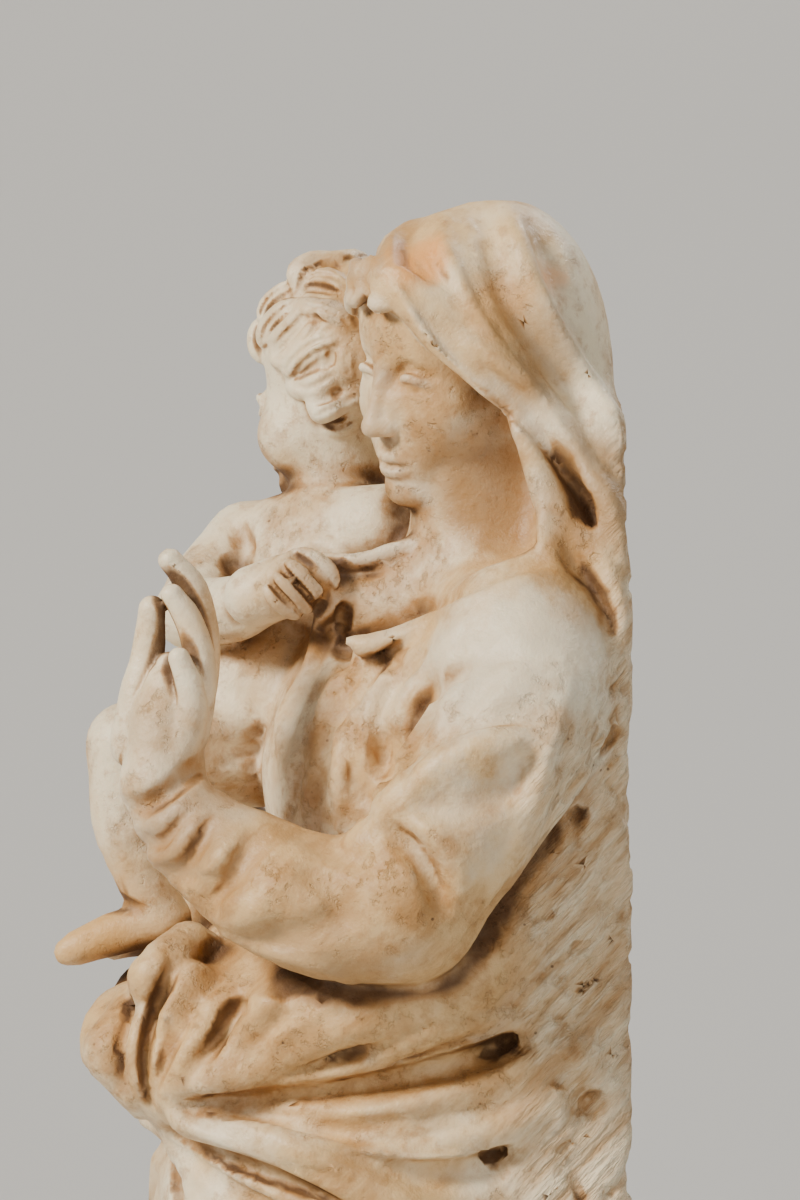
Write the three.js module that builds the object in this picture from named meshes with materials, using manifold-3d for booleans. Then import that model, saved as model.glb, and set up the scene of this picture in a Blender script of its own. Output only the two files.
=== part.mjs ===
// A marble group of a veiled mother with a child on her right arm, carved from one block.
// Her left hand is raised, the back is left flat and rough, and a low base is part of the block.
// Millimetres, +Z up. She faces -Y, her left is +X, and the origin is the middle of the base's underside.
import * as THREE from 'three';
import { mergeVertices } from 'three/addons/utils/BufferGeometryUtils.js';
import Module from 'manifold-3d';

const wasm = await Module();
wasm.setup();

// Driving sizes.
const figureHeight = 762; // from the top of the base to the top of the veil
const baseHeight = 38;
const baseMargin = 12; // from the hem out to the edge of the base
const baseCorner = 26; // radius of the base's two front corners
const baseBevel = 4;
const marble = { color: 0xd9c3a0, roughness: 0.55, metalness: 0 };

// The figure is drawn on a body 762 units tall, standing on z = 0, and scaled to figureHeight.
// Each place below is in these units, with x = 0 in the middle of the block.
const unit = figureHeight / 762;
const backPlane = 85; // the flat back is at this y
const hem = { side: 99, front: 85 }; // how far the dress spreads over the base
const baseWidth = 2 * (hem.side * unit + baseMargin);
const baseDepth = (hem.front + backPlane) * unit + baseMargin;
const sunkIntoBase = 6; // how far the drawn hem runs down into the base, so that they join
const clayLow = [-130, -128]; // the block that the figure is cut from
const clayHigh = [126, 97, 774];
// The place that the folds on her left are drawn from.
const eye = { azimuth: 87, elevation: 3, distance: 1800, at: [0, 7.9, 621] };
const cell = 4; // spacing of the grid that the surface is first found on
const faceCount = 9300; // triangles left after thinning
const finelyKept = { above: 460, fullFrom: 660, factor: 7 }; // the heads and hands keep more of their shape

// Sculpting: a field that is negative inside the marble, built up shape by shape.

const radians = THREE.MathUtils.degToRad;

function smoothMin(a, b, blend) {
  const h = Math.max(blend - Math.abs(a - b), 0) / blend;
  return Math.min(a, b) - (h * h * blend) / 4;
}

// Turn of a part: yaw to her left, then nod forwards, then lean to her left, in degrees.
function turnMatrix([yaw, nod, lean]) {
  const euler = new THREE.Euler(radians(nod), radians(lean), radians(yaw), 'ZXY');
  return new THREE.Matrix3().setFromMatrix4(new THREE.Matrix4().makeRotationFromEuler(euler));
}

// A part's own frame: from its local places to places on the figure.
function frameAt(at, turn) {
  const m = turnMatrix(turn);
  return (x, y, z) => new THREE.Vector3(x, y, z).applyMatrix3(m).add(new THREE.Vector3(...at)).toArray();
}

function egg(at, radii, turn = [0, 0, 0]) {
  const e = turnMatrix(turn).elements;
  const [rx, ry, rz] = radii;
  const reach = Math.max(rx, ry, rz);
  return {
    low: at.map((v) => v - reach),
    high: at.map((v) => v + reach),
    distance(px, py, pz) {
      const dx = px - at[0];
      const dy = py - at[1];
      const dz = pz - at[2];
      const x = (e[0] * dx + e[1] * dy + e[2] * dz) / rx;
      const y = (e[3] * dx + e[4] * dy + e[5] * dz) / ry;
      const z = (e[6] * dx + e[7] * dy + e[8] * dz) / rz;
      const k0 = Math.hypot(x, y, z);
      const k1 = Math.hypot(x / rx, y / ry, z / rz);
      return k1 < 1e-9 ? -Math.min(rx, ry, rz) : (k0 * (k0 - 1)) / k1;
    },
  };
}

// Points along a smooth line through the given ones; each point may carry a radius as its fourth number.
function smoothLine(points, steps) {
  const places = points.map(([x, y, z]) => new THREE.Vector3(x, y, z));
  const curve = new THREE.CatmullRomCurve3(places, false, 'centripetal');
  const spans = points.length - 1;
  return Array.from({ length: steps + 1 }, (_, i) => {
    const t = i / steps;
    const p = curve.getPoint(t);
    const k = Math.min(Math.floor(t * spans), spans - 1);
    const f = t * spans - k;
    const ease = f * f * (3 - 2 * f);
    const radius = THREE.MathUtils.lerp(points[k][3] ?? 0, points[k + 1][3] ?? 0, ease);
    return [p.x, p.y, p.z, radius];
  });
}

function boundsOf(line, extra) {
  const low = [0, 1, 2].map((i) => Math.min(...line.map((p) => p[i] - p[3])) - extra);
  const high = [0, 1, 2].map((i) => Math.max(...line.map((p) => p[i] + p[3])) + extra);
  return { low, high };
}

// Nearest place on a smooth line: how far, less the line's radius there, and how far along, from 0 to 1.
function nearestOn(line) {
  const spans = line.length - 1;
  const legs = Float64Array.from(line.slice(0, -1).flatMap(([x, y, z, r], i) => {
    const [ex, ey, ez] = [line[i + 1][0] - x, line[i + 1][1] - y, line[i + 1][2] - z];
    return [x, y, z, r, ex, ey, ez, line[i + 1][3] - r, ex * ex + ey * ey + ez * ez];
  }));
  const found = { distance: 0, along: 0 };
  return (x, y, z) => {
    let best = Infinity;
    for (let i = 0, n = 0; i < spans; i++, n += 9) {
      const dx = x - legs[n];
      const dy = y - legs[n + 1];
      const dz = z - legs[n + 2];
      const run = (dx * legs[n + 4] + dy * legs[n + 5] + dz * legs[n + 6]) / legs[n + 8];
      const t = Math.min(Math.max(run, 0), 1);
      const fx = dx - t * legs[n + 4];
      const fy = dy - t * legs[n + 5];
      const fz = dz - t * legs[n + 6];
      const d = Math.sqrt(fx * fx + fy * fy + fz * fz) - legs[n + 3] - t * legs[n + 7];
      if (d < best) {
        best = d;
        found.along = (i + t) / spans;
      }
    }
    found.distance = best;
    return found;
  };
}

// A limb, finger, roll of cloth or lock: a round section of changing radius along a smooth line.
function limb(points, steps = 4 * (points.length - 1)) {
  const line = smoothLine(points, steps);
  const nearest = nearestOn(line);
  return { ...boundsOf(line, 0), distance: (x, y, z) => nearest(x, y, z).distance };
}

// A body of oval sections, each [height, centre x, centre y, half width, half depth], with a squareness and
// an optional fold(angle, height) that adds to the radius.
function loft(levels, { turn = 0, square = 2, fold = null, round = 10 } = {}) {
  const c = Math.cos(radians(turn));
  const s = Math.sin(radians(turn));
  const bottom = levels[0][0];
  const top = levels.at(-1)[0];
  const wide = Math.max(...levels.map(([, x, y, rx, ry]) => Math.max(rx, ry) + Math.hypot(x, y))) + 12;
  const curve = (a, b, p, q, f) =>
    0.5 * (2 * b + (p - a) * f + (2 * a - 5 * b + 4 * p - q) * f * f + (3 * b - a - 3 * p + q) * f * f * f);
  const at = (z) => {
    let k = 0;
    while (k < levels.length - 2 && z > levels[k + 1][0]) k++;
    const f = THREE.MathUtils.clamp((z - levels[k][0]) / (levels[k + 1][0] - levels[k][0]), 0, 1);
    const four = [Math.max(k - 1, 0), k, k + 1, Math.min(k + 2, levels.length - 1)].map((i) => levels[i]);
    return [1, 2, 3, 4].map((i) => curve(...four.map((l) => l[i]), f));
  };
  return {
    low: [-wide, -wide, bottom],
    high: [wide, wide, top],
    distance(x, y, z) {
      const [cx, cy, rx, ry] = at(z);
      const dx = c * (x - cx) + s * (y - cy);
      const dy = -s * (x - cx) + c * (y - cy);
      const q = (Math.abs(dx / rx) ** square + Math.abs(dy / ry) ** square) ** (1 / square);
      const away = Math.hypot(dx, dy);
      const edge = q < 1e-6 ? Math.min(rx, ry) : away / q;
      const side = away - edge - (fold ? fold(Math.atan2(dy, dx), z) : 0);
      const ends = Math.max(bottom - z, z - top);
      return -smoothMin(-side, -ends, round);
    },
  };
}

class Clay {
  constructor(low, high) {
    this.low = low;
    this.size = low.map((v, i) => Math.ceil((high[i] - v) / cell) + 1);
    this.values = new Float32Array(this.size[0] * this.size[1] * this.size[2]).fill(1e3);
  }

  // Runs change(value, x, y, z) on the nodes of the grid in a box.
  each(low, high, change) {
    const [nx, ny, nz] = this.size;
    const from = low.map((v, i) => Math.max(0, Math.floor((v - this.low[i]) / cell)));
    const to = high.map((v, i) => Math.min([nx, ny, nz][i] - 1, Math.ceil((v - this.low[i]) / cell)));
    for (let k = from[2]; k <= to[2]; k++)
      for (let j = from[1]; j <= to[1]; j++)
        for (let i = from[0]; i <= to[0]; i++) {
          const n = (k * ny + j) * nx + i;
          this.values[n] = change(
            this.values[n], this.low[0] + i * cell, this.low[1] + j * cell, this.low[2] + k * cell);
        }
  }

  add(shape, blend = 4) {
    const grow = blend + 2 * cell;
    this.each(shape.low.map((v) => v - grow), shape.high.map((v) => v + grow),
      (v, x, y, z) => smoothMin(v, shape.distance(x, y, z), blend));
  }

  cut(shape, blend = 4) {
    const grow = blend + 2 * cell;
    this.each(shape.low.map((v) => v - grow), shape.high.map((v) => v + grow),
      (v, x, y, z) => -smoothMin(-v, shape.distance(x, y, z), blend));
  }

  // Raises (or, with a negative height, sinks) the surface along a line, tapered to its ends.
  stroke(points, width, height, steps = 6 * (points.length - 1)) {
    const line = smoothLine(points.map(([x, y, z]) => [x, y, z]), steps);
    const nearest = nearestOn(line);
    const { low, high } = boundsOf(line, width);
    this.each(low, high, (v, x, y, z) => {
      const { distance, along } = nearest(x, y, z);
      if (distance >= width) return v;
      const taper = Math.sqrt(Math.sin(Math.PI * THREE.MathUtils.clamp(along, 0.04, 0.96)));
      const share = 1 - (distance / width) ** 2;
      return v - height * taper * share * share;
    });
  }

  valueAt(x, y, z) {
    const [nx, ny] = this.size;
    const g = [x, y, z].map((v, i) => Math.min(Math.max((v - this.low[i]) / cell, 0), this.size[i] - 1.001));
    const b = g.map(Math.floor);
    const f = g.map((v, i) => v - b[i]);
    let sum = 0;
    for (let c = 0; c < 8; c++) {
      const d = [c & 1, (c >> 1) & 1, c >> 2];
      const weight = d.reduce((w, on, i) => w * (on ? f[i] : 1 - f[i]), 1);
      sum += weight * this.values[((b[2] + d[2]) * ny + b[1] + d[1]) * nx + b[0] + d[0]];
    }
    return sum;
  }

  // Lays a line drawn as (across, height) on the surface, seen from the eye or, where an azimuth is given,
  // from that side: 0 is the front, 90 her left and -90 her right.
  lay(drawn, azimuth = null) {
    const turn = radians(azimuth ?? eye.azimuth);
    const rise = radians(azimuth === null ? eye.elevation : 0);
    const right = new THREE.Vector3(Math.cos(turn), Math.sin(turn), 0);
    const away = new THREE.Vector3(
      Math.sin(turn) * Math.cos(rise), -Math.cos(turn) * Math.cos(rise), Math.sin(rise));
    const up = away.clone().cross(right);
    const line = smoothLine(drawn.map(([across, z]) => [across, 0, z]), 3 * (drawn.length - 1));
    const reach = 170;
    return line.map(([across, , height]) => {
      const flat = new THREE.Vector3();
      const toEye = away.clone();
      if (azimuth === null) {
        flat.set(...eye.at).addScaledVector(right, across - eye.at[1]);
        flat.addScaledVector(up, height - eye.at[2]);
        toEye.multiplyScalar(eye.distance).add(new THREE.Vector3(...eye.at)).sub(flat);
        toEye.divideScalar(eye.distance);
      } else {
        flat.addScaledVector(right, across).addScaledVector(up, height);
      }
      let best = Infinity;
      let found = 0;
      for (let d = reach; d > -reach; d -= cell / 2) {
        const v = this.valueAt(...flat.clone().addScaledVector(toEye, d).toArray());
        if (v < best) {
          best = v;
          found = d;
        }
        if (v < 0) break;
      }
      return flat.addScaledVector(toEye, found).toArray();
    });
  }

  carve(drawn, width, height, azimuth) {
    this.stroke(this.lay(drawn, azimuth), width, height);
  }

  // Carves a list of folds, each [drawn line, width, height].
  carveAll(folds, azimuth) {
    for (const [drawn, width, height] of folds) this.carve(drawn, width, height, azimuth);
  }

  // Carves strokes that pass evenly from one drawn line to another, taking the heights in turn.
  carveBetween(first, last, count, width, heights, azimuth) {
    for (let i = 0; i < count; i++) {
      const t = i / (count - 1);
      const drawn = first.map((p, j) => p.map((v, k) => THREE.MathUtils.lerp(v, last[j][k], t)));
      this.carve(drawn, width, heights[i % heights.length], azimuth);
    }
  }
}

const clay = new Clay([...clayLow, -sunkIntoBase - 3 * cell], clayHigh);

// The body and its clothes.

const torsoTurn = 25;
const bodyAxis = [0, 20];
const ridgeAndGroove = [5.5, -7]; // folds come in turn as a ridge and a groove

function shapeDress() {
  const pleats = (angle, z) => {
    const depth = 6 * THREE.MathUtils.smoothstep(470 - z, 0, 260);
    const sway = 0.5 * Math.sin(z / 90);
    return depth * (1 - 2 * Math.abs(Math.sin(8 * angle + sway + 0.8 * Math.sin(3 * angle)))) + 1;
  };
  clay.add(loft([
    [-sunkIntoBase, 0, 4, 92, 80], [40, 0, 6, 86, 76], [150, 2, 8, 80, 74], [260, 3, 8, 79, 76],
    [360, 0, 8, 80, 80], [430, 0, 12, 76, 76], [480, 0, 18, 66, 62],
  ], { square: 2.3, fold: pleats, round: 8 }), 2);
}

function shapeShoes() {
  for (const [x, y] of [[44, -74], [-34, -70]]) clay.add(egg([x, y, 5], [12, 20, 10], [x / 3, 0, 0]), 3);
}

function shapeTorso() {
  clay.add(loft([
    [400, ...bodyAxis, 68, 58], [450, ...bodyAxis, 64, 54], [490, ...bodyAxis, 62, 52],
    [530, ...bodyAxis, 68, 55], [562, ...bodyAxis, 73, 58], [590, 0, 22, 74, 50],
    [612, 0, 26, 66, 38], [634, 0, 32, 40, 27], [648, 2, 35, 26, 24],
  ], { turn: torsoTurn, round: 12 }), 10);
}

function shapeRoughBack() {
  clay.add(loft([
    [-sunkIntoBase, 0, 52, 88, 46], [200, 0, 54, 80, 44], [430, 0, 54, 78, 44], [540, 0, 56, 76, 42],
    [600, 2, 60, 72, 38], [640, 6, 64, 60, 34], [690, 6, 60, 46, 32],
  ], { square: 4, round: 16 }), 8);
}

// The mantle, from under the arms to below the knee, with its hem falling lower at her right.
function shapeMantle() {
  const shell = loft([
    [100, 0, 6, 88, 82], [180, 2, 4, 88, 84], [280, 3, 2, 88, 86], [370, 0, 4, 86, 86], [430, -2, 6, 86, 84],
    [480, -4, 8, 82, 80], [505, -4, 12, 74, 72],
  ], { square: 2.4, round: 14 });
  clay.add({
    ...shell,
    distance(x, y, z) {
      const angle = Math.atan2(y, x);
      const hem = 150 + 46 * Math.cos(angle - 0.4) + 5 * Math.sin(7 * angle);
      return -smoothMin(-shell.distance(x, y, z), -(hem - z), 5);
    },
  }, 3);
  // the thigh, knee and shin of the leg that bends
  clay.add(limb([[34, -10, 390, 44], [44, -38, 300, 42], [48, -54, 236, 34], [46, -44, 190, 26],
    [44, -34, 150, 20]]), 26);
}

// The long folds that run back from the place where the cloth is gathered.
function shapeMantleBands() {
  clay.carveAll([
    [[[-64, 440], [-28, 444], [8, 451], [36, 458], [50, 463]], 9, -12],
    [[[-66, 438], [-28, 439], [8, 444], [43, 453], [68, 463]], 9, 8],
    [[[-50, 436], [-28, 432], [-10, 431], [8, 434]], 8, -6],
    [[[-70, 436], [-40, 428], [-16, 424], [10, 424], [40, 432], [62, 444]], 10, 8],
    [[[-16, 420], [14, 418], [40, 420], [48, 424]], 9, -12],
    [[[-66, 430], [-42, 423], [-16, 411], [4, 402], [30, 384]], 12, 9],
    [[[-72, 424], [-50, 408], [-30, 398], [-8, 384]], 10, -8],
  ]);
}

// The mantle's folds run out like a fan from the place at her waist where it is gathered.
function shapeMantleFolds() {
  clay.carveBetween([[-68, 432], [-34, 408], [10, 388], [66, 366]],
    [[-74, 424], [-58, 330], [-20, 250], [30, 200]], 6, 14, ridgeAndGroove, 90);
  // seen from the front: over the bent knee, then out to her right
  clay.carveBetween([[24, 430], [50, 350], [66, 270], [70, 190]],
    [[-2, 436], [-40, 370], [-62, 270], [-66, 150]], 7, 14, ridgeAndGroove, 0);
  // seen from her right: hanging from the forearm
  clay.carveBetween([[78, 430], [70, 300], [60, 140]],
    [[-50, 470], [-52, 300], [-50, 160]], 8, 13, ridgeAndGroove, -90);
}

// The veiled head.

const headAt = [6, 33, 709];
const headTurn = [30, 12, 8];
const inHead = frameAt(headAt, headTurn);

function shapeVeil() {
  clay.add(egg([6, 45, 702], [44, 38, 60]), 8);
  clay.add(egg([8, 34, 717], [40, 38, 42]), 10);
  clay.add(egg([12, 21, 727], [30, 25, 27]), 8);
  clay.add(egg([4, 64, 640], [56, 28, 66]), 14);
  clay.cut(egg(inHead(0, -56, -28), [52, 40, 70], headTurn), 6);
  clay.cut(egg([46, 8, 664], [38, 50, 40]), 8);
  const nearEdge = [
    [12, 12, 748, 5], [25, 6, 745, 5.5], [36, 4, 738, 5.5], [44, 10, 727, 6], [48, 20, 714, 6.5],
    [51, 33, 702, 6.5], [53, 47, 688, 6.5], [54, 58, 669, 6.5], [55, 65, 648, 7], [57, 75, 628, 7],
    [58, 82, 606, 6.5],
  ];
  clay.add(limb(nearEdge), 6);
  const farEdge = [
    [12, 12, 748, 5], [0, 6, 744, 5.5], [-12, 8, 732, 6], [-19, 11, 713, 6.5], [-23, 17, 689, 7],
    [-28, 27, 660, 8], [-36, 40, 630, 10], [-50, 52, 598, 9],
  ];
  clay.add(limb(farEdge), 6);
}

function shapeVeilFolds() {
  clay.carveAll([
    [[[9, 750], [11, 732], [25, 710], [45, 691], [65, 667], [80, 643]], 6, -5],
    [[[22, 756], [33, 728], [52, 701], [74, 672], [87, 643]], 8, 5],
    [[[36, 758], [44, 728], [65, 696], [81, 667]], 9, -7],
    [[[45, 758], [56, 732], [76, 696], [85, 678]], 9, 5],
    [[[56, 752], [66, 725], [80, 700]], 8, -6],
    [[[51, 678], [59, 657], [67, 631], [76, 610], [83, 597]], 8, 5],
    [[[80, 657], [84, 635], [86, 617], [87, 604]], 8, 5],
    [[[62, 655], [72, 632], [80, 606]], 7, -8],
  ]);
  // the deep pocket between two folds beside her neck
  clay.cut(limb([[54, 52, 676, 3], [58, 60, 667, 5.5], [59, 68, 657, 6], [58, 73, 648, 4]]), 2.5);
}

function shapeNeck() {
  clay.add(limb([[0, 34, 596, 28], [3, 36, 640, 25], [6, 38, 690, 23]]), 10);
  clay.add(limb([[-40, 34, 606, 20], [0, 36, 622, 24], [44, 44, 606, 22]]), 12);
}

function shapeHead() {
  const add = (at, radii, blend) => clay.add(egg(inHead(...at), radii, headTurn), blend);
  const cut = (at, radii, blend) => clay.cut(egg(inHead(...at), radii, headTurn), blend);
  add([0, 2, 6], [34, 39, 42], 2);
  add([0, -13, -14], [27, 25, 36], 8);
  for (const side of [-1, 1]) {
    clay.add(limb([[...inHead(side * 22, 0, -24), 9], [...inHead(side * 10, -22, -42), 8]]), 8);
    cut([side * 13, -41, 0], [8.5, 7, 5.5], 5);
    add([side * 13, -29, -0.5], [7, 6.5, 5], 2);
    add([side * 13, -34, 8.5], [12, 5, 3], 5);
    add([side * 16, -25, -15], [11, 10, 11], 8);
    add([side * 4.5, -42, -19], [3.4, 4, 3.2], 2.5);
  }
  clay.add(limb([[...inHead(0, -36, 7), 3], [...inHead(0, -42, -6), 3.4],
    [...inHead(0, -47.5, -17), 4.4]]), 4);
  add([0, -31, -31], [14, 9, 11], 4);
  add([0, -39.5, -29.5], [8.5, 3.4, 2.4], 2.5);
  add([0, -38.5, -34.5], [7, 3.6, 2.6], 2.5);
  add([0, -34, -44], [8, 8, 7], 5);
  // waved hair under the veil's edge
  for (const side of [-1, 1]) {
    clay.add(limb([[...inHead(side * 3, -34, 34), 5], [...inHead(side * 15, -33, 27), 6],
      [...inHead(side * 26, -25, 17), 6], [...inHead(side * 32, -15, 4), 5]]), 3);
  }
}

// Her raised left arm and hand.

function shapeRaisedArm() {
  clay.add(limb([[60, 48, 606, 31], [80, 45, 584, 30], [91, 24, 553, 29], [93, 4, 523, 26]]), 9);
  clay.add(limb([[93, 4, 522, 26], [89, -20, 520, 24.5], [80, -44, 529, 22], [69, -63, 541, 17.5]]), 7);
  clay.add(limb([[66, -66, 543, 16.5], [64, -70, 548, 15]]), 3);
  clay.add(limb([[68, -60, 538, 11], [64, -71, 549, 11], [62, -75, 558, 13]]), 3);
}

function shapeSleeveFolds() {
  clay.carveAll([
    [[[-4, 537], [11, 550], [29, 563], [49, 571], [61, 569]], 10, 6],
    [[[-3, 533], [10, 531], [20, 523], [22, 510]], 9, -7],
    [[[6, 548], [26, 548], [44, 541]], 10, -5],
    [[[33, 600], [19, 585], [8, 573], [3, 560]], 10, 7],
    [[[44, 596], [32, 580], [22, 570], [10, 562]], 9, -6],
    [[[68, 592], [64, 560], [54, 532], [40, 508]], 10, 4],
    [[[-81, 532], [-69, 537], [-58, 552]], 7, 5],
    [[[-78, 525], [-64, 529], [-51, 544]], 7, -6],
    [[[-71, 518], [-53, 522], [-41, 539]], 8, 5],
    [[[-61, 512], [-46, 512], [-31, 528]], 9, -5],
    [[[-58, 505], [-43, 497], [-25, 490]], 9, 4],
  ]);
}

// The dress on her breast: its neckline, and folds drawn to the child's grip on it.
function shapeBreastFolds() {
  clay.carveAll([
    [[[-14, 603], [6, 607], [25, 616], [46, 624], [65, 629]], 7, 5],
    [[[-14, 606], [-23, 585], [-30, 564], [-38, 546]], 10, 6],
    [[[-6, 602], [-14, 580], [-20, 560], [-26, 545]], 9, -6],
    [[[6, 600], [1, 578], [-2, 553], [-10, 540]], 10, 7],
    [[[8, 590], [4, 571], [4, 559]], 9, -9],
    [[[22, 607], [10, 590], [0, 570]], 9, 6],
    [[[36, 612], [24, 596], [12, 580]], 8, -4],
  ]);
}

function shapeRaisedHand() {
  clay.add(egg([61, -75, 570], [13, 12, 25], [10, -4, 0]), 5);
  clay.add(egg([62, -79, 560], [13, 12, 13], [10, 0, 0]), 5);
  clay.add(egg([56, -77, 584], [9, 9, 22], [10, 0, 0]), 4);
  const digits = [
    [[54, -85, 566, 8.5], [51, -86, 586, 7.2], [52, -83, 602, 6.6], [55, -79, 617, 5.4]], // thumb
    [[50, -71, 584, 7], [46, -66, 606, 6.4], [45, -67, 624, 5.8], [46, -73, 635, 4.8]], // index
    [[56, -69, 582, 7], [55, -64, 606, 6.6], [54, -66, 625, 6.2], [54, -75, 638, 5]], // middle
    [[63, -69, 578, 6.8], [64, -67, 598, 6.4], [64, -71, 612, 6], [64, -76, 622, 4.8]], // ring
    [[68, -77, 572, 7], [71, -72, 586, 6.2], [71, -71, 598, 5.6], [71, -73, 606, 4.6]], // little
  ];
  for (const digit of digits) clay.add(limb(digit), 1.5);
}

// Her right arm under the mantle, holding the child, and the cloth gathered over it.

function shapeHoldingArm() {
  clay.add(limb([[-66, -10, 606, 29], [-84, 2, 565, 27], [-96, 0, 520, 25], [-92, -30, 500, 24],
    [-70, -60, 498, 20]]), 10);
  clay.add(egg([-24, -42, 458], [72, 50, 36], [10, 0, 0]), 14);
  clay.add(egg([22, -54, 462], [46, 42, 32], [-8, 0, 0]), 12);
  clay.add(limb([[-98, -44, 530, 9], [-101, -56, 548, 8], [-98, -62, 566, 6.5]]), 5);
  for (const i of [0, 1, 2, 3]) {
    const y = -50 - 7.5 * i;
    clay.add(limb([[-99, y + 2, 545, 4.6], [-101, y, 560, 4.4], [-96, y - 1, 574, 3.8]]), 2);
  }
  // the loose end of the gathered cloth, and a knob of it below the hand
  clay.add(limb([[-40, -72, 480, 12], [0, -88, 471, 11], [34, -97, 464, 8.5]]), 5);
  clay.add(limb([[44, -68, 484, 12], [42, -76, 492, 10.5], [30, -68, 500, 9]]), 6);
}

// The gathered cloth is drawn down in rolls to the place where the fan of folds begins.
function shapeGatheredFolds() {
  clay.carveAll([
    [[[-78, 492], [-91, 471], [-94, 453], [-84, 437]], 11, 8],
    [[[-70, 480], [-82, 464], [-86, 450], [-80, 438]], 7, -8],
    [[[-62, 482], [-76, 463], [-80, 450], [-78, 440]], 8, 6],
    [[[-60, 472], [-72, 462], [-79, 446]], 6, -7],
    [[[-50, 480], [-66, 463], [-76, 445]], 9, 7],
    [[[-46, 475], [-56, 465], [-63, 453]], 7, -9],
    [[[-9, 480], [-28, 468], [-49, 453], [-62, 444]], 9, 7],
    [[[-16, 478], [-37, 466], [-46, 460]], 7, -7],
    [[[15, 476], [-14, 462], [-46, 447], [-64, 442]], 10, 8],
  ]);
  clay.carveBetween([[-70, 486], [-60, 440], [-20, 424], [18, 436]],
    [[-20, 496], [-8, 478], [6, 460], [20, 444]], 6, 10, [-8, 6], 10);
}

// The child.

const childHeadAt = [-62, -5, 699];
const childHeadTurn = [-32, 6, -4];
const inChildHead = frameAt(childHeadAt, childHeadTurn);

function shapeChild() {
  clay.add(egg([-50, -22, 627], [36, 23, 26], [48, 0, 0]), 4);
  clay.add(limb([[-68, -44, 638, 14], [-48, -20, 644, 15], [-30, 3, 645, 15]]), 6);
  clay.add(egg([-58, -36, 592], [31, 28, 28], [20, 0, 0]), 14);
  clay.add(egg([-62, -33, 566], [32, 29, 22]), 12);
  clay.add(limb([[-54, -14, 642, 17], [-58, -9, 668, 17]]), 6);
  // right arm, reaching across to her neckline
  clay.add(limb([[-68, -46, 638, 14], [-52, -61, 623, 13], [-34, -66, 614, 12.5]]), 5);
  clay.add(limb([[-34, -66, 614, 12.5], [-16, -52, 616, 12], [-2, -39, 621, 9.5]]), 4);
  // left arm, round her neck
  clay.add(limb([[-30, 0, 644, 14], [-36, 22, 647, 12.5], [-46, 40, 643, 11], [-46, 56, 640, 9]]), 5);
  // left leg
  clay.add(limb([[-46, -44, 562, 20], [-30, -68, 568, 18], [-20, -88, 567, 14.5]]), 7);
  clay.add(limb([[-20, -89, 567, 14], [-17, -89, 542, 13.5], [-16, -83, 518, 10], [-16, -77, 504, 9.5]]), 6);
  clay.add(limb([[-16, -76, 504, 8.5], [-15, -92, 500, 8], [-14, -106, 495, 6.5], [-14, -111, 493, 5]]), 5);
  // right leg
  clay.add(limb([[-82, -46, 560, 20], [-90, -70, 562, 17], [-88, -86, 558, 14]]), 7);
  clay.add(limb([[-88, -86, 558, 13.5], [-74, -80, 532, 12], [-60, -70, 508, 9], [-56, -68, 498, 8.5]]), 6);
  clay.add(limb([[-56, -66, 498, 8], [-57, -82, 494, 7.5], [-58, -94, 490, 5.5]]), 4);
}

// The child's right hand closes on her neckline and pulls the cloth to a point.
function shapeGrip() {
  clay.add(egg([5, -33, 624], [12, 12, 9], [50, 0, 0]), 4);
  for (const i of [0, 1, 2, 3]) {
    clay.add(limb([
      [12 + i, -35 + 3 * i, 632 - 1.5 * i, 3.6], [19, -28 + 3 * i, 629 - 1.5 * i, 3.6],
      [20, -24 + 3 * i, 621 - 1.5 * i, 3.4], [14, -24 + 3 * i, 616 - i, 3],
    ]), 1.5);
  }
  clay.add(limb([[12, -20, 620, 6], [14, -10, 624, 6], [12, 4, 628, 6], [10, 16, 632, 5]]), 5);
  clay.add(limb([[12, -30, 612, 6], [10, -26, 600, 8], [6, -20, 588, 8]]), 6);
}

function shapeChildHead() {
  const add = (at, radii, blend) => clay.add(egg(inChildHead(...at), radii, childHeadTurn), blend);
  const cut = (at, radii, blend) => clay.cut(egg(inChildHead(...at), radii, childHeadTurn), blend);
  add([0, 3, 5], [33, 35, 33], 3);
  add([0, -10, -16], [28, 26, 25], 8);
  for (const side of [-1, 1]) {
    add([side * 15, -19, -21], [13, 13, 12], 6);
    cut([side * 12, -37, -4], [7, 5, 4.5], 4);
    add([side * 12, -28, -4], [6, 6, 4.5], 2);
    add([side * 32, 3, -11], [4, 6, 8], 3);
  }
  add([0, -36, -13], [4.5, 5, 4], 4);
  add([0, -34, -23], [6.5, 4, 2.2], 2.5);
  add([0, -32.5, -27], [5.5, 4, 2.4], 2.5);
  add([0, -28, -35], [7, 7, 6], 4);
  // thick wavy locks in rings round the skull: height on it, how many, thickness and how far round
  const rings = [[56, 5, 8.5, 340], [30, 7, 8.5, 340], [4, 7, 8, 250], [-17, 5, 7, 190]];
  rings.forEach(([lift, count, size, spread], ring) => {
    for (let i = 0; i < count; i++) {
      const turn = radians(90 - spread / 2 + (spread * (i + 0.5)) / count);
      const lock = [-0.5, -0.25, 0, 0.25, 0.5].map((u) => {
        const sway = turn + 0.34 * u + 0.24 * Math.sin(2.6 * Math.PI * u + i + ring);
        const fall = radians(lift - 30 * u);
        const out = 33 * Math.cos(fall);
        const place = inChildHead(out * Math.cos(sway), 4 + out * Math.sin(sway), 5 + 32 * Math.sin(fall));
        return [...place, size * (1 - 1.6 * u * u)];
      });
      clay.add(limb(lock), 1.5);
    }
  });
  clay.add(limb([[...inChildHead(0, 12, 38), 7], [...inChildHead(0, -10, 40), 9],
    [...inChildHead(2, -30, 30), 8], [...inChildHead(4, -36, 20), 5]]), 2);
}

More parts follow.
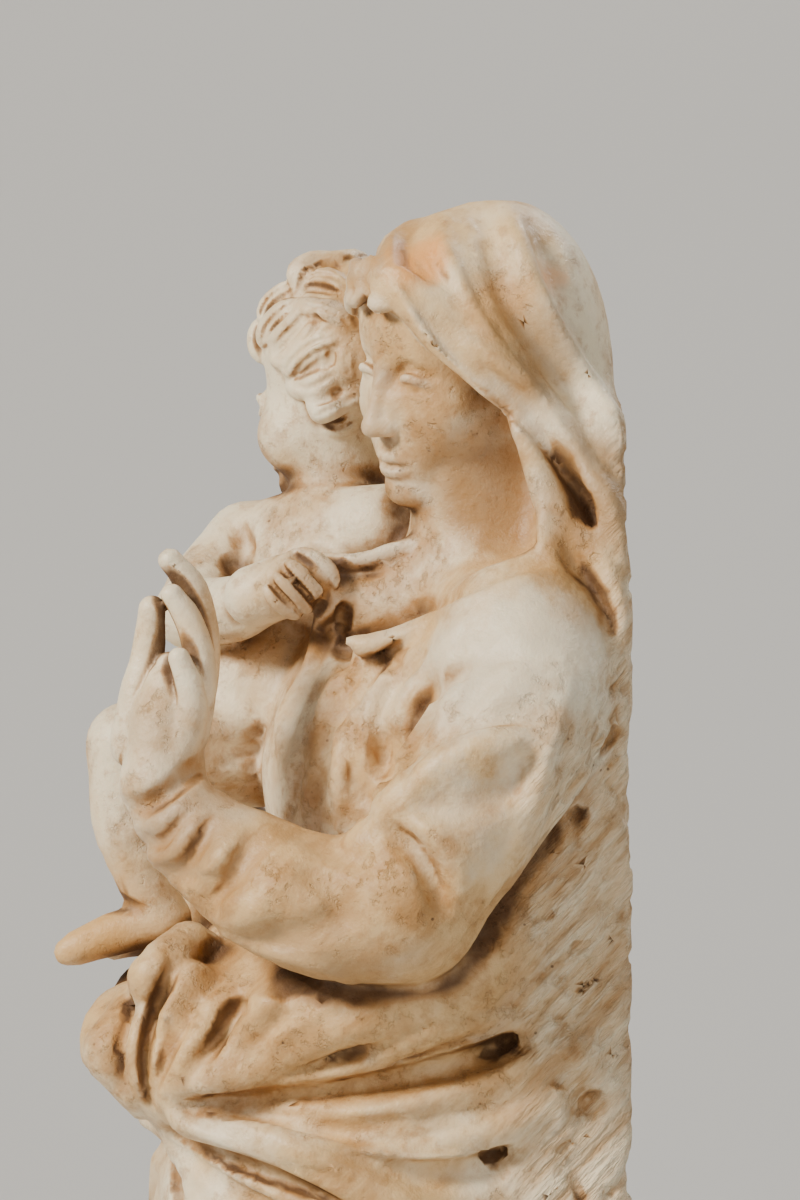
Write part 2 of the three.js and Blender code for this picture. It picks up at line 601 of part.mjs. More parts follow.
shapeDress();
shapeTorso();
shapeRoughBack();
shapeMantle();
shapeHoldingArm();
shapeMantleBands();
shapeGatheredFolds();
shapeMantleFolds();
shapeVeil();
shapeVeilFolds();
shapeNeck();
shapeHead();
shapeRaisedArm();
shapeSleeveFolds();
shapeBreastFolds();
shapeShoes();
shapeChild();
shapeGrip();
shapeChildHead();
shapeRaisedHand();

// The flat back.
clay.each(clay.low, clayHigh, (v, x, y) => -smoothMin(-v, backPlane - y, 3));

// The surface: each grid cell is split in six tetrahedra, which always gives a closed mesh.

function surfaceOf({ low, size, values }) {
  const [nx, ny, nz] = size;
  const steps = [1, nx, nx * ny];
  const orders = [[0, 1, 2], [0, 2, 1], [1, 0, 2], [1, 2, 0], [2, 0, 1], [2, 1, 0]];
  const odd = [false, true, true, false, false, true];
  const points = [];
  const triangles = [];
  const seen = new Map();
  const total = nx * ny * nz;
  const place = (n) => [n % nx, Math.floor(n / nx) % ny, Math.floor(n / (nx * ny))];
  const crossing = (a, b) => {
    const key = Math.min(a, b) * total + Math.max(a, b);
    let id = seen.get(key);
    if (id === undefined) {
      const t = THREE.MathUtils.clamp(values[a] / (values[a] - values[b]), 0.02, 0.98);
      const q = place(b);
      id = points.length / 3;
      points.push(...place(a).map((v, i) => low[i] + cell * (v + t * (q[i] - v))));
      seen.set(key, id);
    }
    return id;
  };
  for (let k = 0; k < nz - 1; k++)
    for (let j = 0; j < ny - 1; j++)
      for (let i = 0; i < nx - 1; i++) {
        const corner = (k * ny + j) * nx + i;
        const far = corner + steps[0] + steps[1] + steps[2];
        let inside = 0;
        for (const d of [0, 1, nx, nx + 1, steps[2], steps[2] + 1, steps[2] + nx, far - corner])
          inside += values[corner + d] < 0 ? 1 : 0;
        if (inside === 0 || inside === 8) continue;
        orders.forEach((order, which) => {
          const middle = corner + steps[order[0]];
          const later = middle + steps[order[1]];
          const four = odd[which] ? [corner, later, middle, far] : [corner, middle, later, far];
          const isIn = four.map((n) => values[n] < 0);
          const ins = four.filter((_, n) => isIn[n]);
          const outs = four.filter((_, n) => !isIn[n]);
          if (!ins.length || !outs.length) return;
          // swaps in the order of the four corners turn the triangle round
          const mixed = [...ins, ...outs].map((n) => four.indexOf(n));
          let swaps = 0;
          for (let p = 0; p < 4; p++) for (let q = p + 1; q < 4; q++) if (mixed[p] > mixed[q]) swaps++;
          const push = (a, b, c) => triangles.push(a, ...(swaps % 2 ? [c, b] : [b, c]));
          if (ins.length === 1) push(...outs.map((n) => crossing(ins[0], n)));
          else if (ins.length === 3) push(...ins.map((n) => crossing(n, outs[0])));
          else {
            const [a, b] = ins;
            const [c, d] = outs;
            push(crossing(a, c), crossing(a, d), crossing(b, d));
            push(crossing(a, c), crossing(b, d), crossing(b, c));
          }
        });
      }
  return { points: Float64Array.from(points), triangles: Int32Array.from(triangles) };
}

// Thins the mesh by joining the edges whose loss changes the surface least, and keeps it closed.

class Thinner {
  constructor({ points, triangles }) {
    this.points = points;
    this.triangles = triangles;
    const vertices = points.length / 3;
    this.alive = triangles.length / 3;
    this.around = Array.from({ length: vertices }, () => []);
    triangles.forEach((v, i) => this.around[v].push(Math.floor(i / 3)));
    this.quadrics = new Float64Array(10 * vertices);
    this.changes = new Int32Array(vertices);
    this.heap = [];
    this.place = [0, 0, 0];
    for (let t = 0; t < this.alive; t++) this.weigh(t);
  }

  // The cross product of a triangle's sides, with corner moved put at to.
  cross(t, moved = -1, to = null) {
    const { points: p, triangles } = this;
    const at = (k, i) => (triangles[3 * t + k] === moved ? to[i] : p[3 * triangles[3 * t + k] + i]);
    const ax = at(0, 0);
    const ay = at(0, 1);
    const az = at(0, 2);
    const ux = at(1, 0) - ax;
    const uy = at(1, 1) - ay;
    const uz = at(1, 2) - az;
    const wx = at(2, 0) - ax;
    const wy = at(2, 1) - ay;
    const wz = at(2, 2) - az;
    return [uy * wz - uz * wy, uz * wx - ux * wz, ux * wy - uy * wx];
  }

  weigh(t) {
    const n = this.cross(t);
    const size = Math.hypot(...n);
    if (size < 1e-12) return;
    const [a, b, c] = n.map((v) => v / size);
    const first = 3 * this.triangles[3 * t];
    const [x, y, z] = this.points.subarray(first, first + 3);
    const d = -(a * x + b * y + c * z);
    const { above, fullFrom, factor } = finelyKept;
    const weight = size * (1 + factor * THREE.MathUtils.smoothstep(z, above, fullFrom));
    const terms = [a * a, a * b, a * c, a * d, b * b, b * c, b * d, c * c, c * d, d * d];
    for (let k = 0; k < 3; k++) {
      const q = 10 * this.triangles[3 * t + k];
      for (let i = 0; i < 10; i++) this.quadrics[q + i] += terms[i] * weight;
    }
  }

  // The cost of joining a and b, which leaves in place where the joined vertex goes.
  cost(a, b) {
    const q = [];
    for (let i = 0; i < 10; i++) q.push(this.quadrics[10 * a + i] + this.quadrics[10 * b + i]);
    const error = (x, y, z) =>
      q[0] * x * x + 2 * q[1] * x * y + 2 * q[2] * x * z + 2 * q[3] * x + q[4] * y * y + 2 * q[5] * y * z
      + 2 * q[6] * y + q[7] * z * z + 2 * q[8] * z + q[9];
    const [ax, ay, az] = this.points.subarray(3 * a, 3 * a + 3);
    const [bx, by, bz] = this.points.subarray(3 * b, 3 * b + 3);
    const middle = [(ax + bx) / 2, (ay + by) / 2, (az + bz) / 2];
    const tries = [middle, [ax, ay, az], [bx, by, bz]];
    const c00 = q[4] * q[7] - q[5] * q[5];
    const c01 = q[2] * q[5] - q[1] * q[7];
    const c02 = q[1] * q[5] - q[2] * q[4];
    const det = q[0] * c00 + q[1] * c01 + q[2] * c02;
    if (det > 1e-4 * (q[0] + q[4] + q[7]) ** 3) {
      const c11 = q[0] * q[7] - q[2] * q[2];
      const c12 = q[1] * q[2] - q[0] * q[5];
      const c22 = q[0] * q[4] - q[1] * q[1];
      const x = -(c00 * q[3] + c01 * q[6] + c02 * q[8]) / det;
      const y = -(c01 * q[3] + c11 * q[6] + c12 * q[8]) / det;
      const z = -(c02 * q[3] + c12 * q[6] + c22 * q[8]) / det;
      if (Math.hypot(x - middle[0], y - middle[1], z - middle[2]) < 3 * cell) tries.push([x, y, z]);
    }
    let least = Infinity;
    for (const t of tries) {
      const e = error(...t);
      if (e < least) {
        least = e;
        this.place = t;
      }
    }
    const length = (ax - bx) ** 2 + (ay - by) ** 2 + (az - bz) ** 2;
    return least + 1e-3 * length;
  }

  queue(a, b) {
    const { heap } = this;
    const entry = { cost: this.cost(a, b), a, b, seen: this.changes[a] + this.changes[b] };
    let i = heap.length;
    while (i > 0 && heap[(i - 1) >> 1].cost > entry.cost) {
      heap[i] = heap[(i - 1) >> 1];
      i = (i - 1) >> 1;
    }
    heap[i] = entry;
  }

  cheapest() {
    const { heap } = this;
    const first = heap[0];
    const entry = heap.pop();
    let i = 0;
    while (2 * i + 1 < heap.length) {
      const second = 2 * i + 2;
      const child = second < heap.length && heap[second].cost < heap[second - 1].cost ? second : second - 1;
      if (heap[child].cost >= entry.cost) break;
      heap[i] = heap[child];
      i = child;
    }
    if (heap.length) heap[i] = entry;
    return first;
  }

  neighbours(v) {
    const found = [];
    for (const t of this.around[v])
      for (let k = 3 * t; k < 3 * t + 3; k++) {
        const w = this.triangles[k];
        if (w !== v && !found.includes(w)) found.push(w);
      }
    return found;
  }

  has(t, v) {
    return this.triangles[3 * t] === v || this.triangles[3 * t + 1] === v || this.triangles[3 * t + 2] === v;
  }

  // Whether moving v to a place turns over, or crushes, a triangle that doesn't also hold other.
  folds(v, other, to) {
    return this.around[v].some((t) => {
      if (this.has(t, other)) return false;
      const before = this.cross(t);
      const after = this.cross(t, v, to);
      const dot = before[0] * after[0] + before[1] * after[1] + before[2] * after[2];
      const size = Math.hypot(...after);
      return dot < 0.25 * Math.hypot(...before) * size || size < 1e-2;
    });
  }

  join(a, b) {
    this.cost(a, b);
    const to = this.place;
    const nearB = this.neighbours(b);
    if (this.neighbours(a).filter((v) => nearB.includes(v)).length !== 2) return;
    if (this.folds(a, b, to) || this.folds(b, a, to)) return;
    this.points.set(to, 3 * a);
    for (let i = 0; i < 10; i++) this.quadrics[10 * a + i] += this.quadrics[10 * b + i];
    for (const t of this.around[b]) {
      if (this.has(t, a)) {
        for (let k = 3 * t; k < 3 * t + 3; k++) {
          const v = this.triangles[k];
          if (v !== b) this.around[v] = this.around[v].filter((other) => other !== t);
          this.triangles[k] = -1;
        }
        this.alive--;
      } else {
        for (let k = 3 * t; k < 3 * t + 3; k++) if (this.triangles[k] === b) this.triangles[k] = a;
        this.around[a].push(t);
      }
    }
    this.around[b] = [];
    this.changes[a]++;
    this.changes[b] += 1e6;
    for (const w of this.neighbours(a)) this.queue(a, w);
  }

  thinTo(wanted) {
    for (let v = 0; v < this.around.length; v++)
      for (const w of this.neighbours(v)) if (v < w) this.queue(v, w);
    while (this.alive > wanted && this.heap.length) {
      const { a, b, seen } = this.cheapest();
      if (seen === this.changes[a] + this.changes[b]) this.join(a, b);
    }
    const kept = [...this.triangles].filter((v) => v >= 0);
    return kept.flatMap((v) => [...this.points.subarray(3 * v, 3 * v + 3)]);
  }
}

function solidOf(geometry) {
  geometry.deleteAttribute('normal');
  geometry.deleteAttribute('uv');
  const merged = mergeVertices(geometry, 1e-4);
  return new wasm.Manifold(new wasm.Mesh({
    numProp: 3,
    vertProperties: merged.attributes.position.array,
    triVerts: new Uint32Array(merged.index.array),
  }));
}

function figureSolid() {
  const corners = new Thinner(surfaceOf(clay)).thinTo(faceCount);
  const geometry = new THREE.BufferGeometry();
  geometry.setAttribute('position', new THREE.BufferAttribute(new Float32Array(corners), 3));
  geometry.scale(unit, unit, unit);
  geometry.translate(0, baseDepth / 2 - backPlane * unit, baseHeight);
  return solidOf(geometry);
}

// The low base: square at the back, with round front corners.
function baseSolid() {
  const w = baseWidth / 2 - baseBevel;
  const d = baseDepth / 2 - baseBevel;
  const plan = new THREE.Shape();
  plan.moveTo(-w, d);
  plan.lineTo(-w, -d + baseCorner);
  plan.absarc(-w + baseCorner, -d + baseCorner, baseCorner, Math.PI, 1.5 * Math.PI, false);
  plan.absarc(w - baseCorner, -d + baseCorner, baseCorner, 1.5 * Math.PI, 2 * Math.PI, false);
  plan.lineTo(w, d);
  plan.closePath();
  const geometry = new THREE.ExtrudeGeometry(plan, {
    depth: baseHeight - 2 * baseBevel,
    curveSegments: 6,
    bevelThickness: baseBevel,
    bevelSize: baseBevel,
    bevelSegments: 2,
  });
  geometry.translate(0, 0, baseBevel);
  return solidOf(geometry);
}

const joined = baseSolid().add(figureSolid()).getMesh();
const whole = new THREE.BufferGeometry();
whole.setAttribute('position', new THREE.BufferAttribute(new Float32Array(joined.vertProperties), 3));
whole.setIndex(new THREE.BufferAttribute(new Uint32Array(joined.triVerts), 1));

const statue = new THREE.Mesh(whole, new THREE.MeshStandardMaterial(marble));
statue.name = 'madonna_and_child';
const group = new THREE.Group();
group.add(statue);

export default group;
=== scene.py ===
import math

import bmesh
import bpy
import numpy as np
from mathutils import Euler, Matrix, Vector


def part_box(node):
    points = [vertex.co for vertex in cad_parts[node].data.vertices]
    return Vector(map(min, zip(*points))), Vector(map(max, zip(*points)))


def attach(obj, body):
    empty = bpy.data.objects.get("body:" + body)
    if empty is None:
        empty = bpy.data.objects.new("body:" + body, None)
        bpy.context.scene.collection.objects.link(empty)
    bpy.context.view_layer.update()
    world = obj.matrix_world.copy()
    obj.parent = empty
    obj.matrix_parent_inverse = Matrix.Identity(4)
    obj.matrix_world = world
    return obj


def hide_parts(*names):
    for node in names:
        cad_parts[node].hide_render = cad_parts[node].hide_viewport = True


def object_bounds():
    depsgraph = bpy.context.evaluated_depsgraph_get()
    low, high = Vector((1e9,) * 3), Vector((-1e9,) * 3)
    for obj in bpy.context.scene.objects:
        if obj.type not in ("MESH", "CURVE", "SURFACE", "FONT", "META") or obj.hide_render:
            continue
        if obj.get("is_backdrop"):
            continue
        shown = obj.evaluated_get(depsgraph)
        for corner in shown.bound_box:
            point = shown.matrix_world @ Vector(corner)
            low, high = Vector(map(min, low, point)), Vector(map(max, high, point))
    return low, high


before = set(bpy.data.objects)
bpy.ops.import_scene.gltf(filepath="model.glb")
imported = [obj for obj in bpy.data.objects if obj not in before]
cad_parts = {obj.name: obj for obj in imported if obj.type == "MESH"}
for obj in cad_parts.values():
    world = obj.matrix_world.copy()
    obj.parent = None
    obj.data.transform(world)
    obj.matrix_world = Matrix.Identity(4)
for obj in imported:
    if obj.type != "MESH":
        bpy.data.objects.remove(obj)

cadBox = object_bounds()

# The group is sculpted on a figure 762 units tall, standing on z = 0 with its back on y = 85.
# She faces -y and her left is +x, as in the frame, and a unit is about a millimetre.
figure = {
    "height": 762.0,
    "backPlane": 85.0,
    "cell": 2.0,  # grid spacing of the clay
    "mostTriangles": 190000,
    "seed": 11,
}
# the low base of the same block, in the figure's units
base = {"height": 38.0, "width": 222.0, "depth": 182.0, "corner": 26.0, "rounding": 4.0}
# the place that the folds on her left are drawn from
eye = {"azimuth": 87, "elevation": 3, "distance": 1800, "at": (0, 7.9, 621)}

nodeLow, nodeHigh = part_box("madonna_and_child")
unit = nodeHigh.z / (figure["height"] + base["height"])
figureOrigin = Vector((0, nodeHigh.y - figure["backPlane"] * unit, base["height"] * unit))


# Sculpting: a field that is negative inside the marble, built up shape by shape.

def smoothMin(a, b, blend):
    h = np.maximum(blend - np.abs(a - b), 0) / blend
    return np.minimum(a, b) - h * h * (blend / 4)


def smoothstep(v, low, high):
    t = np.clip((v - low) / (high - low), 0, 1)
    return t * t * (3 - 2 * t)


def turnMatrix(turn):
    # yaw to her left, then nod forwards, then lean to her left
    yaw, nod, lean = (math.radians(a) for a in turn)
    turns = [Euler(a).to_matrix() for a in ((0, 0, yaw), (nod, 0, 0), (0, lean, 0))]
    return np.array(turns[0] @ turns[1] @ turns[2])


def frameAt(at, turn):
    # from a part's own places to places on the figure
    m = turnMatrix(turn)
    return lambda x, y, z: (m @ np.array([x, y, z], float) + np.array(at)).tolist()


def egg(at, radii, turn=(0, 0, 0)):
    m = turnMatrix(turn)
    rx, ry, rz = radii
    reach = max(radii)

    def distance(x, y, z):
        dx, dy, dz = x - at[0], y - at[1], z - at[2]
        u = (m[0, 0] * dx + m[1, 0] * dy + m[2, 0] * dz) / rx
        v = (m[0, 1] * dx + m[1, 1] * dy + m[2, 1] * dz) / ry
        w = (m[0, 2] * dx + m[1, 2] * dy + m[2, 2] * dz) / rz
        k0 = np.sqrt(u * u + v * v + w * w)
        k1 = np.sqrt((u / rx) ** 2 + (v / ry) ** 2 + (w / rz) ** 2)
        return k0 * (k0 - 1) / np.maximum(k1, 1e-6)

    return [a - reach for a in at], [a + reach for a in at], distance


def smoothLine(points, steps):
    # points along a smooth line through the given ones, with a radius as the fourth number
    p = np.array([[*q, 0][:4] for q in points], float)
    places = np.vstack([2 * p[0] - p[1], p, 2 * p[-1] - p[-2]])[:, :3]
    t = np.linspace(0, len(p) - 1, steps + 1)
    k = np.minimum(t.astype(int), len(p) - 2)
    f = (t - k)[:, None]
    p0, p1, p2, p3 = (places[k + i] for i in range(4))
    gap = lambda a, b: np.maximum(np.linalg.norm(b - a, axis=1, keepdims=True) ** 0.5, 1e-3)
    g0, g1, g2 = gap(p0, p1), gap(p1, p2), gap(p2, p3)
    m1 = ((p1 - p0) / g0 - (p2 - p0) / (g0 + g1) + (p2 - p1) / g1) * g1
    m2 = ((p2 - p1) / g1 - (p3 - p1) / (g1 + g2) + (p3 - p2) / g2) * g1
    line = p1 + m1 * f + (3 * (p2 - p1) - 2 * m1 - m2) * f**2 + (2 * (p1 - p2) + m1 + m2) * f**3
    ease = f[:, 0] ** 2 * (3 - 2 * f[:, 0])
    radius = p[k, 3] * (1 - ease) + p[k + 1, 3] * ease
    return np.column_stack([line, radius])


def lineBounds(line, extra):
    low = (line[:, :3] - line[:, 3:]).min(0) - extra
    high = (line[:, :3] + line[:, 3:]).max(0) + extra
    return low, high


def nearestOn(line, x, y, z, gentle=None):
    # how far the nearest place on a line is, less the radius there, how far along it lies,
    # and how much of the way from it goes in the gentle direction
    best, along, side = None, None, 0
    spans = len(line) - 1
    for i in range(spans):
        a, e = line[i], line[i + 1] - line[i]
        dx, dy, dz = x - a[0], y - a[1], z - a[2]
        t = np.clip((dx * e[0] + dy * e[1] + dz * e[2]) / max(e[:3] @ e[:3], 1e-9), 0, 1)
        fx, fy, fz = dx - t * e[0], dy - t * e[1], dz - t * e[2]
        d = np.sqrt(fx * fx + fy * fy + fz * fz) - a[3] - t * e[3]
        nearer = True if best is None else d < best
        best = d if best is None else np.minimum(best, d)
        along = np.where(nearer, (i + t) / spans, 0 if along is None else along)
        if gentle is not None:
            side = np.where(nearer, fx * gentle[0] + fy * gentle[1] + fz * gentle[2], side)
    return best, along, side


def limb(points, steps=None):
    # a limb, finger, roll of cloth or lock
    line = smoothLine(points, steps or 4 * (len(points) - 1))
    low, high = lineBounds(line, 0)
    return low, high, lambda x, y, z: nearestOn(line, x, y, z)[0]


def loft(levels, turn=0, square=2.0, fold=None, rounding=10):
    # a body of oval sections, each (height, centre x, centre y, half width, half depth)
    table = np.array(levels, float)
    c, s = math.cos(math.radians(turn)), math.sin(math.radians(turn))
    wide = (np.maximum(table[:, 3], table[:, 4]) + np.hypot(table[:, 1], table[:, 2])).max() + 12
    bottom, top = table[0, 0], table[-1, 0]
    last = len(table) - 1

    def section(z):
        k = np.clip(np.searchsorted(table[:, 0], z, side="right") - 1, 0, last - 1)
        f = np.clip((z - table[k, 0]) / (table[k + 1, 0] - table[k, 0]), 0, 1)
        for column in (1, 2, 3, 4):
            v = table[:, column]
            a, b, p, q = v[np.maximum(k - 1, 0)], v[k], v[k + 1], v[np.minimum(k + 2, last)]
            bend, twist = 2 * a - 5 * b + 4 * p - q, 3 * b - a - 3 * p + q
            yield 0.5 * (2 * b + (p - a) * f + bend * f**2 + twist * f**3)

    def distance(x, y, z):
        cx, cy, rx, ry = section(z)
        dx = c * (x - cx) + s * (y - cy)
        dy = -s * (x - cx) + c * (y - cy)
        q = (np.abs(dx / rx) ** square + np.abs(dy / ry) ** square) ** (1 / square)
        away = np.hypot(dx, dy)
        side = away - away / np.maximum(q, 1e-6)
        if fold:
            side = side - fold(np.arctan2(dy, dx), z)
        return -smoothMin(-side, -np.maximum(bottom - z, z - top), rounding)

    return [-wide, -wide, bottom], [wide, wide, top], distance


class Clay:
    def __init__(self, low, high, cell):
        self.low, self.cell = np.array(low, float), cell
        self.size = np.ceil((np.array(high) - self.low) / cell).astype(int) + 1
        self.values = np.full(self.size, 1e3, np.float32)
        self.steps = []  # every step of the work, so that it can be followed again at finer places

    def change(self, low, high, step):
        # runs step(value, x, y, z) on the part of the grid in a box
        self.steps.append((np.array(low, float), np.array(high, float), step))
        start = np.clip(np.floor((low - self.low) / self.cell), 0, self.size - 1).astype(int)
        stop = np.clip(np.ceil((high - self.low) / self.cell) + 1, 1, self.size).astype(int)
        if (stop <= start).any():
            return
        part = self.values[start[0]:stop[0], start[1]:stop[1], start[2]:stop[2]]
        x, y, z = (
            (self.low[i] + self.cell * np.arange(start[i], stop[i])).astype(np.float32) for i in range(3)
        )
        part[...] = step(part, x[:, None, None], y[None, :, None], z[None, None, :])

    def add(self, shape, blend=4):
        low, high, distance = shape
        grow = blend + 2 * self.cell
        self.change(np.array(low) - grow, np.array(high) + grow,
                    lambda v, x, y, z: smoothMin(v, distance(x, y, z), blend))

    def cut(self, shape, blend=4):
        low, high, distance = shape
        grow = blend + 2 * self.cell
        self.change(np.array(low) - grow, np.array(high) + grow,
                    lambda v, x, y, z: -smoothMin(-v, distance(x, y, z), blend))

    def nearSurface(self, low, high, within, amount):
        # lowers the values within a few units of the surface by amount(x, y, z)
        def step(v, x, y, z):
            near = np.nonzero(np.abs(v) < within)
            out = v.copy()
            if near[0].size:
                x, y, z = (np.broadcast_to(a, v.shape)[near] for a in (x, y, z))
                out[near] -= amount(x, y, z).astype(out.dtype)
            return out

        self.change(low, high, step)

    def stroke(self, points, width, height, sharp=False, gentle=None):
        # raises (or, with a negative height, sinks) the surface along a line, tapered to its ends;
        # gentle is a direction in which it slopes away more slowly
        spans = len(points) - 1
        line = smoothLine([p[:3] for p in points], 5 * spans if spans < 5 else spans)
        widest = width * 1.6 if gentle is not None else width
        low, high = lineBounds(line, widest)

        def amount(x, y, z):
            away, along, side = nearestOn(line, x, y, z, gentle)
            share = away / width
            if gentle is not None:
                share = share / (1 + 0.6 * np.clip(side / np.maximum(away, 1e-6), -1, 1))
            share = np.clip(1 - share, 0, 1) if sharp else np.clip(1 - share**2, 0, 1)
            ends = np.sqrt(np.sin(math.pi * np.clip(along, 0.03, 0.97)))
            return height * ends * share * share

        self.nearSurface(low, high, widest + abs(height) + 4, amount)

    def sample(self, points):
        # the value at loose places, from the grid
        g = np.clip((points - self.low) / self.cell, 0, self.size - 1.001)
        b = g.astype(int)
        f = g - b
        total = np.zeros(len(points))
        for corner in range(8):
            d = np.array([corner & 1, (corner >> 1) & 1, corner >> 2])
            weight = np.where(d, f, 1 - f).prod(axis=1)
            i, j, k = (b + d).T
            total += weight * self.values[i, j, k]
        return total

    def exact(self, points):
        # the value at loose places, by following every step again
        v = np.full(len(points), 1e3)
        for low, high, step in self.steps:
            inside = np.flatnonzero(((points >= low) & (points <= high)).all(axis=1))
            if inside.size:
                v[inside] = step(v[inside], *points[inside].T)
        return v

    def lay(self, drawn, azimuth=None, sunk=0, even=False):
        # lays a line drawn as (across, height) on the surface, seen from the eye
        # or, where an azimuth is given, from that side: 0 is the front and 90 her left
        turn = math.radians(eye["azimuth"] if azimuth is None else azimuth)
        rise = math.radians(eye["elevation"] if azimuth is None else 0)
        right = np.array([math.cos(turn), math.sin(turn), 0])
        away = np.array([math.sin(turn) * math.cos(rise), -math.cos(turn) * math.cos(rise), math.sin(rise)])
        up = np.cross(away, right)
        line = smoothLine([[across, 0, z] for across, z in drawn], 3 * (len(drawn) - 1))
        if azimuth is None:
            at = np.array(eye["at"])
            flat = at + np.outer(line[:, 0] - at[1], right) + np.outer(line[:, 2] - at[2], up)
            toEye = (at + eye["distance"] * away - flat) / eye["distance"]
        else:
            flat = np.outer(line[:, 0], right) + np.outer(line[:, 2], up)
            toEye = np.tile(away, (len(flat), 1))
        depth = np.arange(170, -170, -self.cell / 2)
        places = flat[:, None] + depth[:, None] * toEye[:, None]
        values = self.sample(places.reshape(-1, 3)).reshape(len(line), -1)
        hit = values < 0
        found = np.where(hit.any(axis=1), hit.argmax(axis=1), values.argmin(axis=1))
        near = depth[found] - sunk
        if even:
            # places where the line slips on to something before or behind are put back in line
            kept = np.flatnonzero(np.abs(near - np.median(near)) < 12)
            near = np.interp(np.arange(len(near)), kept, near[kept])
            near = np.convolve(np.pad(near, 2, mode="edge"), [1 / 9, 2 / 9, 3 / 9, 2 / 9, 1 / 9], "valid")
        return (flat + near[:, None] * toEye).tolist()

    def rollAlong(self, drawn, thick, azimuth, sunk):
        # a roll along a laid line, thinner at its ends and partly sunk in the surface
        line = self.lay(drawn, azimuth, sunk=sunk * thick, even=True)
        share = np.linspace(-1, 1, len(line))
        return limb([[*p, thick * (1 - 0.5 * s**4)] for p, s in zip(line, share)], steps=len(line) - 1)

    def roll(self, drawn, thick, blend=1.5, azimuth=None, sunk=0.35):
        self.add(self.rollAlong(drawn, thick, azimuth, sunk), blend)

    def drill(self, drawn, thick, azimuth=None):
        # cuts a drilled slot along a laid line
        self.cut(self.rollAlong(drawn, thick, azimuth, 0.4), 2)

    def lock(self, drawn, thick, grooves=(-0.3, 0.35), blend=1.5, azimuth=None):
        # a lock of hair: a roll with strands cut along it
        self.roll(drawn, thick, blend, azimuth)
        line = np.array(drawn, float)
        ahead = np.gradient(line, axis=0)
        across = np.column_stack([-ahead[:, 1], ahead[:, 0]]) / np.linalg.norm(ahead, axis=1)[:, None]
        for share in grooves:
            self.carve((line + share * thick * across).tolist(), 0.36 * thick, -0.30 * thick, azimuth)

    def carve(self, drawn, width, height, azimuth=None, gentle=None, **how):
        # gentle is given as drawn: how far across and how far up
        if gentle is not None:
            turn = math.radians(eye["azimuth"] if azimuth is None else azimuth)
            gentle = np.array([gentle[0] * math.cos(turn), gentle[0] * math.sin(turn), gentle[1]])
            gentle = gentle / np.linalg.norm(gentle)
        self.stroke(self.lay(drawn, azimuth), width, height, gentle=gentle, **how)

    def carveAll(self, folds, azimuth=None, strength=1, **how):
        # each fold is its drawn line, its width and its height, with a gentle side if it has one
        for drawn, width, height, *gentle in folds:
            self.carve(drawn, width, strength * height, azimuth, gentle=gentle[0] if gentle else None, **how)

    def carveBetween(self, first, last, count, width, heights, azimuth=None, **how):
        # strokes that pass evenly from one drawn line to another, taking the heights in turn
        for i in range(count):
            t = i / (count - 1)
            drawn = [[a + t * (b - a) for a, b in zip(p, q)] for p, q in zip(first, last)]
            self.carve(drawn, width, heights[i % len(heights)], azimuth, **how)


def noiseAt(x, y, z, size, layer=0):
    # smooth random values from 0 to 1, about size units across
    lattice = np.random.default_rng(figure["seed"] + layer).random((32, 32, 32), dtype=np.float32)
    g = [np.asarray(a, float) / size + 160 for a in (x, y, z)]
    b = [np.floor(a).astype(int) for a in g]
    f = [a - i for a, i in zip(g, b)]
    f = [a * a * (3 - 2 * a) for a in f]
    total = 0
    for corner in range(8):
        d = [corner & 1, (corner >> 1) & 1, corner >> 2]
        weight = 1
        for on, share in zip(d, f):
            weight = weight * (share if on else 1 - share)
        total = total + weight * lattice[(b[0] + d[0]) % 32, (b[1] + d[1]) % 32, (b[2] + d[2]) % 32]
    return total


clay = Clay([-130, -128, -base["height"] - 6], [126, figure["backPlane"] + 6, figure["height"] + 8],
            figure["cell"])
ridgeAndGroove = [5.5, -7]  # folds come in turn as a ridge and a groove

# The body and its clothes.
torso = {"turn": 25, "axis": (0, 20)}


def shapeDress():
    def pleats(angle, z):
        depth = 6 * smoothstep(470 - z, 0, 260)
        wave = np.abs(np.sin(8 * angle + 0.5 * np.sin(z / 90) + 0.8 * np.sin(3 * angle)))
        return depth * (1 - 2 * wave) + 1

    clay.add(loft([
        [-6, 0, 4, 92, 80], [40, 0, 6, 86, 76], [150, 2, 8, 80, 74], [260, 3, 8, 79, 76],
        [360, 0, 8, 80, 80], [430, 0, 12, 76, 76], [480, 0, 18, 66, 62],
    ], square=2.3, fold=pleats, rounding=8), 2)


def shapeShoes():
    for x, y in ((44, -74), (-34, -70)):
        clay.add(egg([x, y, 5], [12, 20, 10], [x / 3, 0, 0]), 3)


def shapeTorso():
    axis = torso["axis"]
    clay.add(loft([
        [400, *axis, 68, 58], [450, *axis, 64, 54], [490, *axis, 62, 52], [530, *axis, 68, 55],
        [562, *axis, 73, 58], [590, 0, 22, 74, 50], [612, 0, 26, 66, 38], [634, 0, 32, 40, 27],
        [648, 2, 35, 26, 24],
    ], turn=torso["turn"], rounding=12), 10)


def shapeRoughBack():
    clay.add(loft([
        [-6, 0, 52, 88, 46], [200, 0, 54, 80, 44], [430, 0, 54, 78, 44], [540, 0, 56, 76, 42],
        [600, 2, 60, 72, 38], [640, 6, 64, 60, 34], [690, 6, 60, 46, 32],
    ], square=4, rounding=16), 8)


